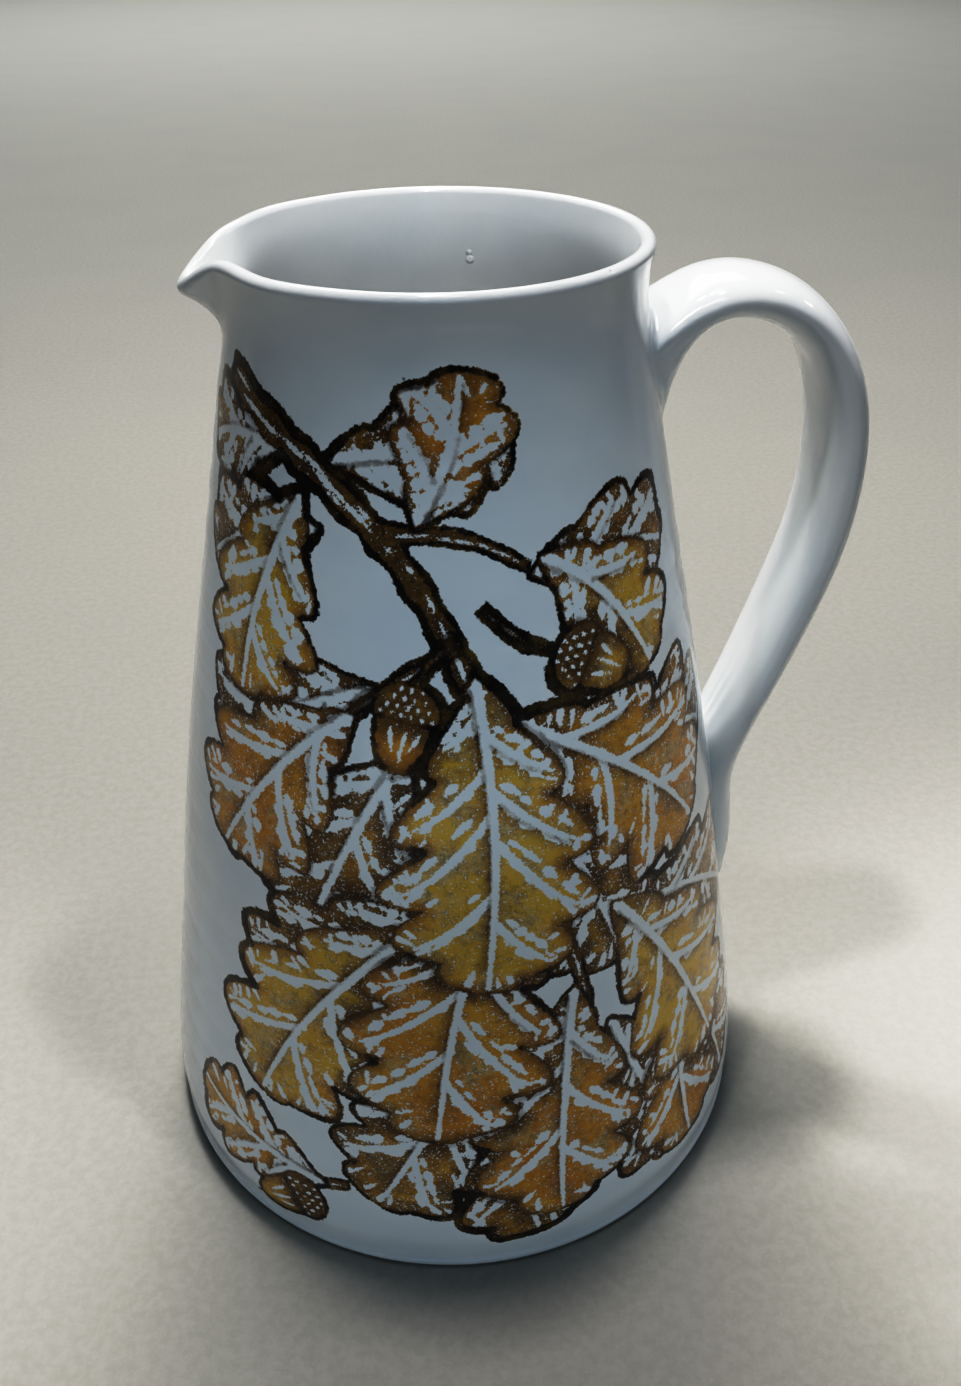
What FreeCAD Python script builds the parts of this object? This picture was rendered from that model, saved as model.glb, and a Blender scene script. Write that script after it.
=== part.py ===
import FreeCAD, Part
import math
import os

# Hand-thrown stoneware pitcher, glazed white.  Millimetres, +Z up.
# Origin: centre of the base on the table plane.  +X: handle side.  -X: pouring spout.
#
# The pitcher is made the way a potter makes it: one thrown wall with its floor,
# a lip rolled at the top and a spout pulled out of that lip (body), one pulled
# strap (handle), and the two beds of slip that join the strap to the wall
# (upper_slip_joint, lower_slip_joint).

V = FreeCAD.Vector

# ---------------------------------------------------------------- dimensions
HEIGHT = 250.0            # table to top of lip
FOOT_EDGE_R = 1.6         # rounded foot edge: how far it steps in ...
FOOT_EDGE_H = 2.4         # ... and how high it is
FOOT_RING_INNER_R = 68.0  # underside: bare ring that touches the table, inner radius
RECESS_DEPTH = 1.5        # underside recess inside that ring
FLOOR_Z = 7.5             # top of the inside floor
FLOOR_FLAT_R = 58.0       # flat part of the inside floor
FLOOR_CORNER = 17.0       # inside corner between floor and wall
LIP_R = 1.75              # rolled lip, half thickness
SLIP_T = 0.6              # bed of slip between strap and wall
SLIP_BEAD = 0.9           # how far the slip shows round the strap

# outer wall: height (fraction of HEIGHT) and outer radius (fraction of HEIGHT)
WALL_Z = [0.0, 0.04, 0.10, 0.18, 0.28, 0.42, 0.58, 0.74, 0.86, 0.925, 0.955, 0.975, 0.993]
WALL_R = [0.3449, 0.3465, 0.3418, 0.3298, 0.3139, 0.2912, 0.2618, 0.2288, 0.2046, 0.1925,
          0.1890, 0.1900, 0.1935]
# wall thickness (fractions of HEIGHT)
THICK_Z = [0.0, 0.10, 0.50, 0.85, 0.95, 0.993]
THICK_T = [0.024, 0.023, 0.020, 0.0175, 0.016, 0.014]

# pulled spout: reach, half angle and fall of the lip (fractions of HEIGHT, radians)
SPOUT_REACH = 0.0318
SPOUT_ANGLE = 0.232
SPOUT_SHAPE = 2.19
SPOUT_DROP = 0.0284
SPOUT_DROP_ANGLE = 0.207
SPOUT_DROP_SHAPE = 2.44
SPOUT_THROAT = 0.062      # height over which the wall swings out into the spout
SPOUT_SHOULDER = 0.0039   # slight bulge of the rim either side of the spout
SPOUT_SHOULDER_AT = 0.7245

# strap centreline in the XZ plane (fractions of HEIGHT), root to tail
STRAP_X = [0.2000, 0.2426, 0.3043, 0.3579, 0.3881, 0.3975, 0.3903, 0.3674, 0.3374, 0.3055,
           0.2960, 0.2985, 0.3045, 0.3090]
STRAP_Z = [0.8860, 0.9345, 0.9361, 0.8997, 0.8393, 0.7656, 0.6868, 0.6048, 0.5204, 0.4335,
           0.3850, 0.3350, 0.2850, 0.2440]
# strap half thickness and half width at those points
STRAP_A = [0.0215, 0.0215, 0.0220, 0.0225, 0.0238, 0.0245, 0.0242, 0.0239, 0.0236, 0.0262,
           0.0310, 0.0330, 0.0290, 0.0215]
STRAP_B = [0.0600, 0.0575, 0.0575, 0.0570, 0.0565, 0.0560, 0.0553, 0.0547, 0.0540, 0.0530,
           0.0515, 0.0500, 0.0450, 0.0340]


# ---------------------------------------------------------------- small maths
class Spline:
    """natural cubic spline through (x, y)"""

    def __init__(self, x, y):
        n = len(x)
        h = [x[i + 1] - x[i] for i in range(n - 1)]
        a = [0.0] * n
        b = [1.0] * n
        c = [0.0] * n
        d = [0.0] * n
        for i in range(1, n - 1):
            a[i] = h[i - 1]
            b[i] = 2.0 * (h[i - 1] + h[i])
            c[i] = h[i]
            d[i] = 6.0 * ((y[i + 1] - y[i]) / h[i] - (y[i] - y[i - 1]) / h[i - 1])
        for i in range(1, n):
            w = a[i] / b[i - 1]
            b[i] -= w * c[i - 1]
            d[i] -= w * d[i - 1]
        m = [0.0] * n
        m[-1] = d[-1] / b[-1]
        for i in range(n - 2, -1, -1):
            m[i] = (d[i] - c[i] * m[i + 1]) / b[i]
        self.x, self.y, self.m, self.h = x, y, m, h

    def __call__(self, t):
        x, y, m, h = self.x, self.y, self.m, self.h
        t = min(max(t, x[0]), x[-1])
        i = 0
        while i < len(x) - 2 and t > x[i + 1]:
            i += 1
        p, q = x[i + 1] - t, t - x[i]
        return (m[i] * p ** 3 + m[i + 1] * q ** 3) / (6 * h[i]) \
            + (y[i] / h[i] - m[i] * h[i] / 6) * p + (y[i + 1] / h[i] - m[i + 1] * h[i] / 6) * q

    def slope(self, t, e=1e-5):
        return (self(t + e) - self(t - e)) / (2 * e)


def lerp(t, xs, ys):
    if t <= xs[0]:
        return ys[0]
    for i in range(len(xs) - 1):
        if t <= xs[i + 1]:
            return ys[i] + (ys[i + 1] - ys[i]) * (t - xs[i]) / (xs[i + 1] - xs[i])
    return ys[-1]


def smooth(t):
    t = min(max(t, 0.0), 1.0)
    return t ** 3 * (t * (6 * t - 15) + 10)


def skin(rings):
    """smooth closed-section surface through a list of rings of points"""
    n = len(rings[0])
    upar = [i / float(n) for i in range(n + 1)]
    step = [0.0]
    for a, b in zip(rings[:-1], rings[1:]):
        step.append(step[-1] + sum((p - q).Length for p, q in zip(a, b)) / n)
    vpar = [s / step[-1] for s in step]
    poles = []
    for ring in rings:
        c = Part.BSplineCurve()
        c.interpolate(Points=ring, PeriodicFlag=True, Parameters=upar)
        poles.append(c.getPoles())
        uk, um = c.getKnots(), c.getMultiplicities()
    grid = []
    for i in range(len(poles[0])):
        c = Part.BSplineCurve()
        c.interpolate(Points=[row[i] for row in poles], Parameters=vpar)
        grid.append(c.getPoles())
        vk, vm = c.getKnots(), c.getMultiplicities()
    s = Part.BSplineSurface()
    s.buildFromPolesMultsKnots(grid, um, vm, uk, vk, True, False, 3, 3)
    return s


def capped(surface):
    """close the two flat end rings of a skin and make it a solid"""
    face = surface.toShape()
    caps = [Part.Face(Part.Wire([e])) for e in face.Edges if e.isClosed()]
    solid = Part.Solid(Part.Shell([face] + caps))
    solid.fix(1e-5, 1e-5, 1e-3)
    if solid.Volume < 0:
        solid.reverse()
    return solid


# ---------------------------------------------------------------- wall
wall_r = Spline(WALL_Z, WALL_R)
LIP_Z = WALL_Z[-1]


def outer_r(z):
    """outer radius of the plain wall at height z, mm"""
    return wall_r(z / HEIGHT) * HEIGHT


def lip_z(d):
    return LIP_Z - SPOUT_DROP * math.exp(-(abs(d) / SPOUT_DROP_ANGLE) ** SPOUT_DROP_SHAPE)


def spout_r(d, z):
    g = math.exp(-(abs(d) / SPOUT_ANGLE) ** SPOUT_SHAPE)
    v = min(max((z - (lip_z(d) - SPOUT_THROAT)) / SPOUT_THROAT, 0.0), 1.2)
    s = SPOUT_SHOULDER * math.exp(-((abs(d) - SPOUT_SHOULDER_AT) / 0.22) ** 2)
    return SPOUT_REACH * g * v ** 3 + s * smooth((z - 0.80) / 0.19)


def thick(z):
    return lerp(z, THICK_Z, THICK_T)


def middle(v, th):
    """point on the middle of the wall; v runs 0..1 up the wall, th round it"""
    d = math.atan2(math.sin(th - math.pi), math.cos(th - math.pi))
    top = lip_z(d)
    z = v * top
    zz = min(z + (LIP_Z - top) * smooth((z - 0.85) / 0.14), LIP_Z)
    r = wall_r(zz) - thick(z) / 2 + spout_r(d, z)
    return V(r * math.cos(th), r * math.sin(th), z) * HEIGHT


def wall_frame(v, th):
    e = 1e-3
    p = middle(v, th)
    up = (middle(min(v, 1.0), th) - middle(min(v, 1.0) - e, th)).normalize()
    side = (middle(v, th + e) - middle(v, th - e)).normalize()
    n = side.cross(up).normalize()
    up = n.cross(side).normalize()
    d = math.atan2(math.sin(th - math.pi), math.cos(th - math.pi))
    return p, n, up, thick(v * lip_z(d)) * HEIGHT / 2


def make_body():
    nth = 120
    ths = [2 * math.pi * i / nth for i in range(nth)]

    def circle(r, z):
        return [V(r * math.cos(t), r * math.sin(t), z) for t in ths]

    rings = []
    for k in range(6):                       # rounded foot edge
        a = math.pi / 2 * k / 5.0
        z = FOOT_EDGE_H * (1 - math.cos(a))
        rings.append(circle(outer_r(z) - FOOT_EDGE_R * (1 - math.sin(a)), z))
    rings.append(circle(outer_r(4.5), 4.5))
    vs = [0.03, 0.05, 0.08, 0.12, 0.17, 0.22, 0.28, 0.34, 0.40, 0.46, 0.52, 0.58, 0.64, 0.70,
          0.75, 0.79, 0.83, 0.86, 0.885, 0.905, 0.92, 0.935, 0.95, 0.962, 0.973, 0.983, 0.992, 1.0]
    frames = [[wall_frame(v, t) for t in ths] for v in vs]
    for row in frames:                       # outside, going up
        rings.append([p + n * h for p, n, u, h in row])
    for k in range(1, 8):                    # rolled lip
        a = math.pi * k / 8.0
        rings.append([p + (n * math.cos(a) + u * math.sin(a)) * h for p, n, u, h in frames[-1]])
    for row in reversed(frames[4:]):         # inside, going down
        rings.append([p - n * h for p, n, u, h in row])
    zc = FLOOR_Z + FLOOR_CORNER              # inside corner, down to the floor
    r0 = outer_r(zc) - thick(zc / HEIGHT) * HEIGHT
    for k in range(0, 8):
        a = math.pi / 2 * k / 7.0
        rings.append(circle(r0 - FLOOR_CORNER * (1 - math.cos(a)), zc - FLOOR_CORNER * math.sin(a)))
    rings.append(circle(FLOOR_FLAT_R, FLOOR_Z))
    solid = capped(skin(rings))
    recess = Part.makeCone(FOOT_RING_INNER_R + 1.0, FOOT_RING_INNER_R - RECESS_DEPTH,
                           RECESS_DEPTH + 1.0, V(0, 0, -1.0), V(0, 0, 1))
    return solid.cut(recess)


def wall_offset(gap):
    """plain turned solid, as wide as the outer wall plus a gap"""
    zs = [HEIGHT * k / 60.0 * 0.96 for k in range(61)]
    c = Part.BSplineCurve()
    c.interpolate([V(outer_r(z) + gap, 0, z) for z in zs])
    a, b = V(outer_r(zs[0]) + gap, 0, 0), V(outer_r(zs[-1]) + gap, 0, zs[-1])
    w = Part.Wire([Part.makeLine(V(0, 0, 0), a), c.toShape(), Part.makeLine(b, V(0, 0, zs[-1])),
                   Part.makeLine(V(0, 0, zs[-1]), V(0, 0, 0))])
    return Part.Face(w).revolve(V(0, 0, 0), V(0, 0, 1), 360)


# ---------------------------------------------------------------- strap
arc = [0.0]
for i in range(1, len(STRAP_X)):
    arc.append(arc[-1] + math.hypot(STRAP_X[i] - STRAP_X[i - 1], STRAP_Z[i] - STRAP_Z[i - 1]))
strap_x, strap_z = Spline(arc, STRAP_X), Spline(arc, STRAP_Z)
strap_a, strap_b = Spline(arc, STRAP_A), Spline(arc, STRAP_B)
NPHI = 40
PHIS = [2 * math.pi * i / NPHI for i in range(NPHI)]     # 0 outer ridge, pi inner face
ROOT_END = arc[1] + 0.012
ROOT_TOP, ROOT_MID, ROOT_LOW = 0.910, 0.885, 0.785       # root inside the wall, heights
ROOT_HALF_WIDTH = 0.104
ROOT_DEPTH = 0.018


def section(s, grow=0.0, shrink=1.0):
    x, z = strap_x(s), strap_z(s)
    dx, dz = strap_x.slope(s), strap_z.slope(s)
    L = math.hypot(dx, dz)
    tx, tz = dx / L, dz / L
    nx, nz = -tz, tx
    a = strap_a(s) * shrink + grow
    b = strap_b(s) * shrink + grow
    pts = []
    for f in PHIS:
        c, q = math.cos(f), math.sin(f)
        k = 1.0 if c > 0 else 0.88
        u = a * math.copysign(abs(c) ** k, c)
        w = b * math.copysign(abs(q) ** (1.0 if c > 0 else 0.94), q)
        pts.append(V(x + nx * u, w, z + nz * u) * HEIGHT)
    return pts, V(tx, 0, tz)


def strap(grow=0.0):
    """solid of the strap, run on into the wall at both ends"""
    g = grow / HEIGHT
    end, t1 = section(ROOT_END, g)
    # ring just inside the wall, bent round it, that the clay fans out to
    ring, lead, flat, bent = [], [], [], []
    hub = V(wall_r(ROOT_MID), 0, ROOT_MID)
    for f in PHIS:
        c, q = math.cos(f), math.sin(f)
        up = max(c, 0.0)
        z = ROOT_MID + ((ROOT_TOP - ROOT_MID) if c > 0 else (ROOT_MID - ROOT_LOW)) * c + g * c
        th = (ROOT_HALF_WIDTH + g) * q * (1 - 0.42 * (1 - c) / 2) / wall_r(z)
        n = V(math.cos(th), math.sin(th), 0.17).normalize()
        p = V(wall_r(z) * math.cos(th), wall_r(z) * math.sin(th), z)
        back = hub - p
        back = (back - n * back.dot(n)).normalize()
        lead.append((n * (0.66 + 0.10 * c) + back * (0.78 * (1 - up)) + V(0, 0, 0.46 * up)).normalize())
        ring.append((p - n * ROOT_DEPTH) * HEIGHT)
        bent.append((p - n * (ROOT_DEPTH + 0.035)) * HEIGHT)
        flat.append(V(0.085, p.y * 0.62, ROOT_MID + (z - ROOT_MID) * 0.9 - 0.012) * HEIGHT)
    rings = [flat, bent]
    for k in range(15):
        u = k / 15.0
        h00, h10 = 2 * u ** 3 - 3 * u ** 2 + 1, u ** 3 - 2 * u ** 2 + u
        h01, h11 = -2 * u ** 3 + 3 * u ** 2, u ** 3 - u ** 2
        row = []
        for i, f in enumerate(PHIS):
            c = math.cos(f)
            w = abs(c) ** 1.5
            l0 = (11.0 if c > 0 else 26.0) * w + 14.0 * (1 - w)
            l1 = (14.0 if c > 0 else 26.0) * w + 20.0 * (1 - w)
            row.append(ring[i] * h00 + lead[i] * (l0 * h10 * 1.5) + end[i] * h01 + t1 * (l1 * h11 * 1.5))
        rings.append(row)
    n = 46
    for k in range(n + 1):
        rings.append(section(ROOT_END + (arc[-1] - ROOT_END) * k / n, g)[0])
    e = arc[-1]
    for ds, sh in ((0.0025, 0.95), (0.0050, 0.84), (0.0065, 0.68)):    # rounded tail tip
        pts, t = section(e, g, sh)
        rings.append([p + t * (ds * HEIGHT) for p in pts])
    return capped(skin(rings))


def outermost(shape):
    return max(shape.Solids, key=lambda s: s.CenterOfMass.x)


# ---------------------------------------------------------------- build
body = make_body()
bed = wall_offset(SLIP_T)
handle = outermost(strap().cut(bed))
wide = strap(SLIP_BEAD)
beds = wide.common(bed).cut(body)
pieces = sorted([s for s in beds.Solids if s.CenterOfMass.x > outer_r(s.CenterOfMass.z) - 6
                 and s.Volume > 20], key=lambda s: -s.CenterOfMass.z)
print("slip pieces", [(round(s.Volume, 1), round(s.CenterOfMass.x, 1), round(s.CenterOfMass.z, 1)) for s in beds.Solids])

NODES = {
    "body": body,
    "handle": handle,
    "upper_slip_joint": pieces[0],
    "lower_slip_joint": pieces[-1],
}

os.makedirs("parts", exist_ok=True)
for name, shape in NODES.items():
    shape.exportStep("parts/%s.step" % name)
    b = shape.BoundBox
    print("%-18s valid %s solids %d volume %.1f  x %.2f..%.2f y %.2f..%.2f z %.2f..%.2f" % (
        name, shape.isValid(), len(shape.Solids), shape.Volume, b.XMin, b.XMax, b.YMin, b.YMax, b.ZMin, b.ZMax))
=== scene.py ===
import bpy
import math
import numpy as np
from mathutils import Matrix


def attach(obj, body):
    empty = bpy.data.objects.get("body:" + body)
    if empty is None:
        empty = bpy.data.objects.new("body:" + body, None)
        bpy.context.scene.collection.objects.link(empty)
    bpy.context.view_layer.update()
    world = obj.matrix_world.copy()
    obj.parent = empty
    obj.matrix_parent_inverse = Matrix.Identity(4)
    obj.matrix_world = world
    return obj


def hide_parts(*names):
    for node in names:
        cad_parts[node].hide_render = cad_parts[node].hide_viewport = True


# Looks of a hand-thrown pitcher: thrown wall with rolled lip and pulled spout, pulled
# strap handle, the two beds of slip that join it, and an oak-spray painting under the
# glaze.  Metres, +Z up, +X the handle side.
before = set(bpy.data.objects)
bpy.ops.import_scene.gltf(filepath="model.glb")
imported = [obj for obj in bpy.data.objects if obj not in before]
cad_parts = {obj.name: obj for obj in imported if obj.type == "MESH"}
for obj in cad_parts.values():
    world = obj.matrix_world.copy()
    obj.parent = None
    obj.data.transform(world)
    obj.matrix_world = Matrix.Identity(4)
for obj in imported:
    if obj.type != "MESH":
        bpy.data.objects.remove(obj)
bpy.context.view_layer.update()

MM = 0.001
HEIGHT = 250.0
FOOT_EDGE_R, FOOT_EDGE_H = 1.6, 2.4
FOOT_RING_INNER_R, RECESS_DEPTH = 68.0, 1.5
FLOOR_Z, FLOOR_FLAT_R, FLOOR_CORNER = 7.5, 58.0, 17.0
WALL_Z = [0.0, 0.04, 0.10, 0.18, 0.28, 0.42, 0.58, 0.74, 0.86, 0.925, 0.955, 0.975, 0.993]
WALL_R = [0.3449, 0.3465, 0.3418, 0.3298, 0.3139, 0.2912, 0.2618, 0.2288, 0.2046, 0.1925,
          0.1890, 0.1900, 0.1935]
THICK_Z = [0.0, 0.10, 0.50, 0.85, 0.95, 0.993]
THICK_T = [0.024, 0.023, 0.020, 0.0175, 0.016, 0.014]
SPOUT_REACH, SPOUT_ANGLE, SPOUT_SHAPE = 0.0318, 0.232, 2.19
SPOUT_DROP, SPOUT_DROP_ANGLE, SPOUT_DROP_SHAPE = 0.0284, 0.207, 2.44
SPOUT_THROAT, SPOUT_SHOULDER, SPOUT_SHOULDER_AT = 0.062, 0.0039, 0.7245
STRAP_X = [0.2000, 0.2426, 0.3043, 0.3579, 0.3881, 0.3975, 0.3903, 0.3674, 0.3374, 0.3055,
           0.2960, 0.2985, 0.3045, 0.3090]
STRAP_Z = [0.8860, 0.9345, 0.9361, 0.8997, 0.8393, 0.7656, 0.6868, 0.6048, 0.5204, 0.4335,
           0.3850, 0.3350, 0.2850, 0.2440]
STRAP_A = [0.0215, 0.0215, 0.0220, 0.0225, 0.0238, 0.0245, 0.0242, 0.0239, 0.0236, 0.0262,
           0.0310, 0.0330, 0.0290, 0.0215]
STRAP_B = [0.0600, 0.0575, 0.0575, 0.0570, 0.0565, 0.0560, 0.0553, 0.0547, 0.0540, 0.0530,
           0.0515, 0.0500, 0.0450, 0.0340]
LIP_Z = WALL_Z[-1]
PAINT_AZ = math.radians(-95.0)      # middle of the painted side


# ------------------------------------------------------------------ small maths
class Spline:
    """natural cubic spline; y may have extra axes"""

    def __init__(self, x, y):
        x, y = np.asarray(x, float), np.asarray(y, float)
        n = len(x)
        h = np.diff(x)
        A = np.zeros((n, n))
        d = np.zeros((n,) + y.shape[1:])
        A[0, 0] = A[-1, -1] = 1.0
        for i in range(1, n - 1):
            A[i, i - 1:i + 2] = h[i - 1], 2 * (h[i - 1] + h[i]), h[i]
            d[i] = 6.0 * ((y[i + 1] - y[i]) / h[i] - (y[i] - y[i - 1]) / h[i - 1])
        self.m = np.linalg.solve(A, d.reshape(n, -1)).reshape(d.shape)
        self.x, self.y, self.h = x, y, h

    def __call__(self, t):
        t = np.clip(np.asarray(t, float), self.x[0], self.x[-1])
        i = np.clip(np.searchsorted(self.x, t) - 1, 0, len(self.x) - 2)
        e = (Ellipsis,) + (None,) * (self.y.ndim - 1)
        h, p, q = self.h[i][e], (self.x[i + 1] - t)[e], (t - self.x[i])[e]
        return (self.m[i] * p ** 3 + self.m[i + 1] * q ** 3) / (6 * h) \
            + (self.y[i] / h - self.m[i] * h / 6) * p + (self.y[i + 1] / h - self.m[i + 1] * h / 6) * q

    def each(self, t):
        """value of every column of y at that column's own t"""
        t = np.clip(np.asarray(t, float), self.x[0], self.x[-1])
        i = np.clip(np.searchsorted(self.x, t) - 1, 0, len(self.x) - 2)
        c = np.arange(len(t))
        h, p, q = self.h[i][:, None], (self.x[i + 1] - t)[:, None], (t - self.x[i])[:, None]
        return (self.m[i, c] * p ** 3 + self.m[i + 1, c] * q ** 3) / (6 * h) \
            + (self.y[i, c] / h - self.m[i, c] * h / 6) * p + (self.y[i + 1, c] / h - self.m[i + 1, c] * h / 6) * q

    def slope(self, t, e=1e-5):
        return (self(t + e) - self(t - e)) / (2 * e)


def smooth(t):
    t = np.clip(t, 0.0, 1.0)
    return t ** 3 * (t * (6 * t - 15) + 10)


def unit(v):
    return v / np.linalg.norm(v, axis=-1, keepdims=True)


def grid_faces(rows, cols, closed=True, start=0):
    """quads of a rows x cols grid whose columns close on themselves"""
    r = np.arange(rows - 1)[:, None]
    c = np.arange(cols if closed else cols - 1)[None, :]
    d = (c + 1) % cols
    q = np.stack([r * cols + c, r * cols + d, (r + 1) * cols + d, (r + 1) * cols + c], -1)
    return q.reshape(-1, 4) + start


def make_mesh(name, verts, quads, tris=None, attributes=None, material=None, uv=None):
    """object in metres from millimetre points; all faces smooth"""
    me = bpy.data.meshes.new(name)
    tris = np.zeros((0, 3), int) if tris is None else np.asarray(tris, int)
    loops = np.concatenate([quads.ravel(), tris.ravel()]).astype(np.int32)
    start = np.concatenate([np.arange(len(quads)) * 4, len(quads) * 4 + np.arange(len(tris)) * 3]).astype(np.int32)
    me.vertices.add(len(verts))
    me.vertices.foreach_set("co", (np.asarray(verts, float) * MM).astype(np.float32).ravel())
    me.loops.add(len(loops))
    me.loops.foreach_set("vertex_index", loops)
    me.polygons.add(len(start))
    me.polygons.foreach_set("loop_start", start)
    me.update(calc_edges=True)
    me.validate()
    me.polygons.foreach_set("use_smooth", np.ones(len(start), bool))
    if attributes:
        for key, val in attributes.items():
            val = np.asarray(val, np.float32)
            kind = "FLOAT" if val.ndim == 1 else "FLOAT_COLOR"
            at = me.attributes.new(key, kind, "POINT")
            at.data.foreach_set("value" if val.ndim == 1 else "color", val.ravel())
    if uv is not None:
        layer = me.uv_layers.new(name="OFBake")
        layer.data.foreach_set("uv", np.asarray(uv, np.float32)[loops].ravel())
    me.update()
    ob = bpy.data.objects.new(name, me)
    bpy.context.scene.collection.objects.link(ob)
    if material is not None:
        me.materials.append(material)
    return ob



# ------------------------------------------------------------------ painted decoration
# Everything is drawn in the plane that the tapering wall unrolls to: X to the right
# and Y up, in millimetres, X 0 at PAINT_AZ.

def seg_value(px, py, ax, ay, bx, by, wa, wb):
    """largest (half width minus distance) over tapered strokes; one value per point"""
    out = np.full(px.shape, -1e3, np.float32)
    for x0, y0, x1, y1, w0, w1 in zip(ax, ay, bx, by, wa, wb):
        dx, dy = x1 - x0, y1 - y0
        L = dx * dx + dy * dy + 1e-9
        m = max(w0, w1) + 7.0
        k = np.nonzero((px > min(x0, x1) - m) & (px < max(x0, x1) + m)
                       & (py > min(y0, y1) - m) & (py < max(y0, y1) + m))[0]
        if not len(k):
            continue
        qx, qy = px[k] - x0, py[k] - y0
        t = np.clip((qx * dx + qy * dy) / L, 0, 1)
        d = np.hypot(qx - t * dx, qy - t * dy)
        out[k] = np.maximum(out[k], w0 + (w1 - w0) * t - d)
    return out


def stroke_value(px, py, strokes):
    """strokes: list of (points Nx2, half widths N)"""
    a, b, wa, wb = [], [], [], []
    for pts, w in strokes:
        a.append(pts[:-1])
        b.append(pts[1:])
        wa.append(w[:-1])
        wb.append(w[1:])
    a, b, wa, wb = np.concatenate(a), np.concatenate(b), np.concatenate(wa), np.concatenate(wb)
    return seg_value(px, py, a[:, 0], a[:, 1], b[:, 0], b[:, 1], wa, wb)


def polygon_distance(px, py, poly):
    """signed distance to a closed outline, positive inside"""
    q = np.roll(poly, -1, 0)
    d = np.full(px.shape, 1e6, np.float32)
    inside = np.zeros(px.shape, bool)
    for (x0, y0), (x1, y1) in zip(poly, q):
        dx, dy = x1 - x0, y1 - y0
        L = dx * dx + dy * dy + 1e-12
        qx, qy = px - x0, py - y0
        t = np.clip((qx * dx + qy * dy) / L, 0, 1)
        d = np.minimum(d, (qx - t * dx) ** 2 + (qy - t * dy) ** 2)
        if y0 != y1:
            cross = ((y0 > py) != (y1 > py)) & (px < x0 + (py - y0) * dx / dy)
            inside ^= cross
    d = np.sqrt(d)
    return np.where(inside, d, -d).astype(np.float32)


def bend(u, v, k):
    """leaf space (u along the midrib, v across) bent into an arc of curvature k"""
    if abs(k) < 1e-6:
        return u, v
    a = k * u
    return np.sin(a) / k - v * np.sin(a), (1 - np.cos(a)) / k + v * np.cos(a)


def place(u, v, leaf):
    x, y = bend(np.asarray(u, float), np.asarray(v, float), leaf["k"])
    c, s = math.cos(leaf["a"]), math.sin(leaf["a"])
    return np.stack([leaf["x"] + x * c - y * s, leaf["y"] + x * s + y * c], -1)


def leaf_space(px, py, leaf):
    c, s = math.cos(leaf["a"]), math.sin(leaf["a"])
    x, y = px - leaf["x"], py - leaf["y"]
    x, y = x * c + y * s, -x * s + y * c
    k = leaf["k"]
    if abs(k) < 1e-6:
        return x, y
    r = 1.0 / k
    ang = np.arctan2(x * np.sign(k), (r - y) * np.sign(k))
    return ang * r, r - np.sign(k) * np.hypot(x, r - y)


def half_width(u, leaf, side):
    """half width of a lobed leaf at u (0 stalk, 1 tip)"""
    n, ph = leaf["lobes"], leaf["phase"] + (0.5 if side < 0 else 0.0) * leaf["stagger"]
    e = np.sin(np.pi * np.clip(u, 0, 1) ** 1.22) ** 0.72
    lobe = np.abs(np.sin(np.pi * (n * u + ph))) ** 0.75
    deep = leaf["deep"] * (0.55 + 0.45 * np.sin(np.pi * np.clip(u, 0, 1)))
    return leaf["w"] * 0.5 * e * (1 - deep * (1 - lobe))


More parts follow.
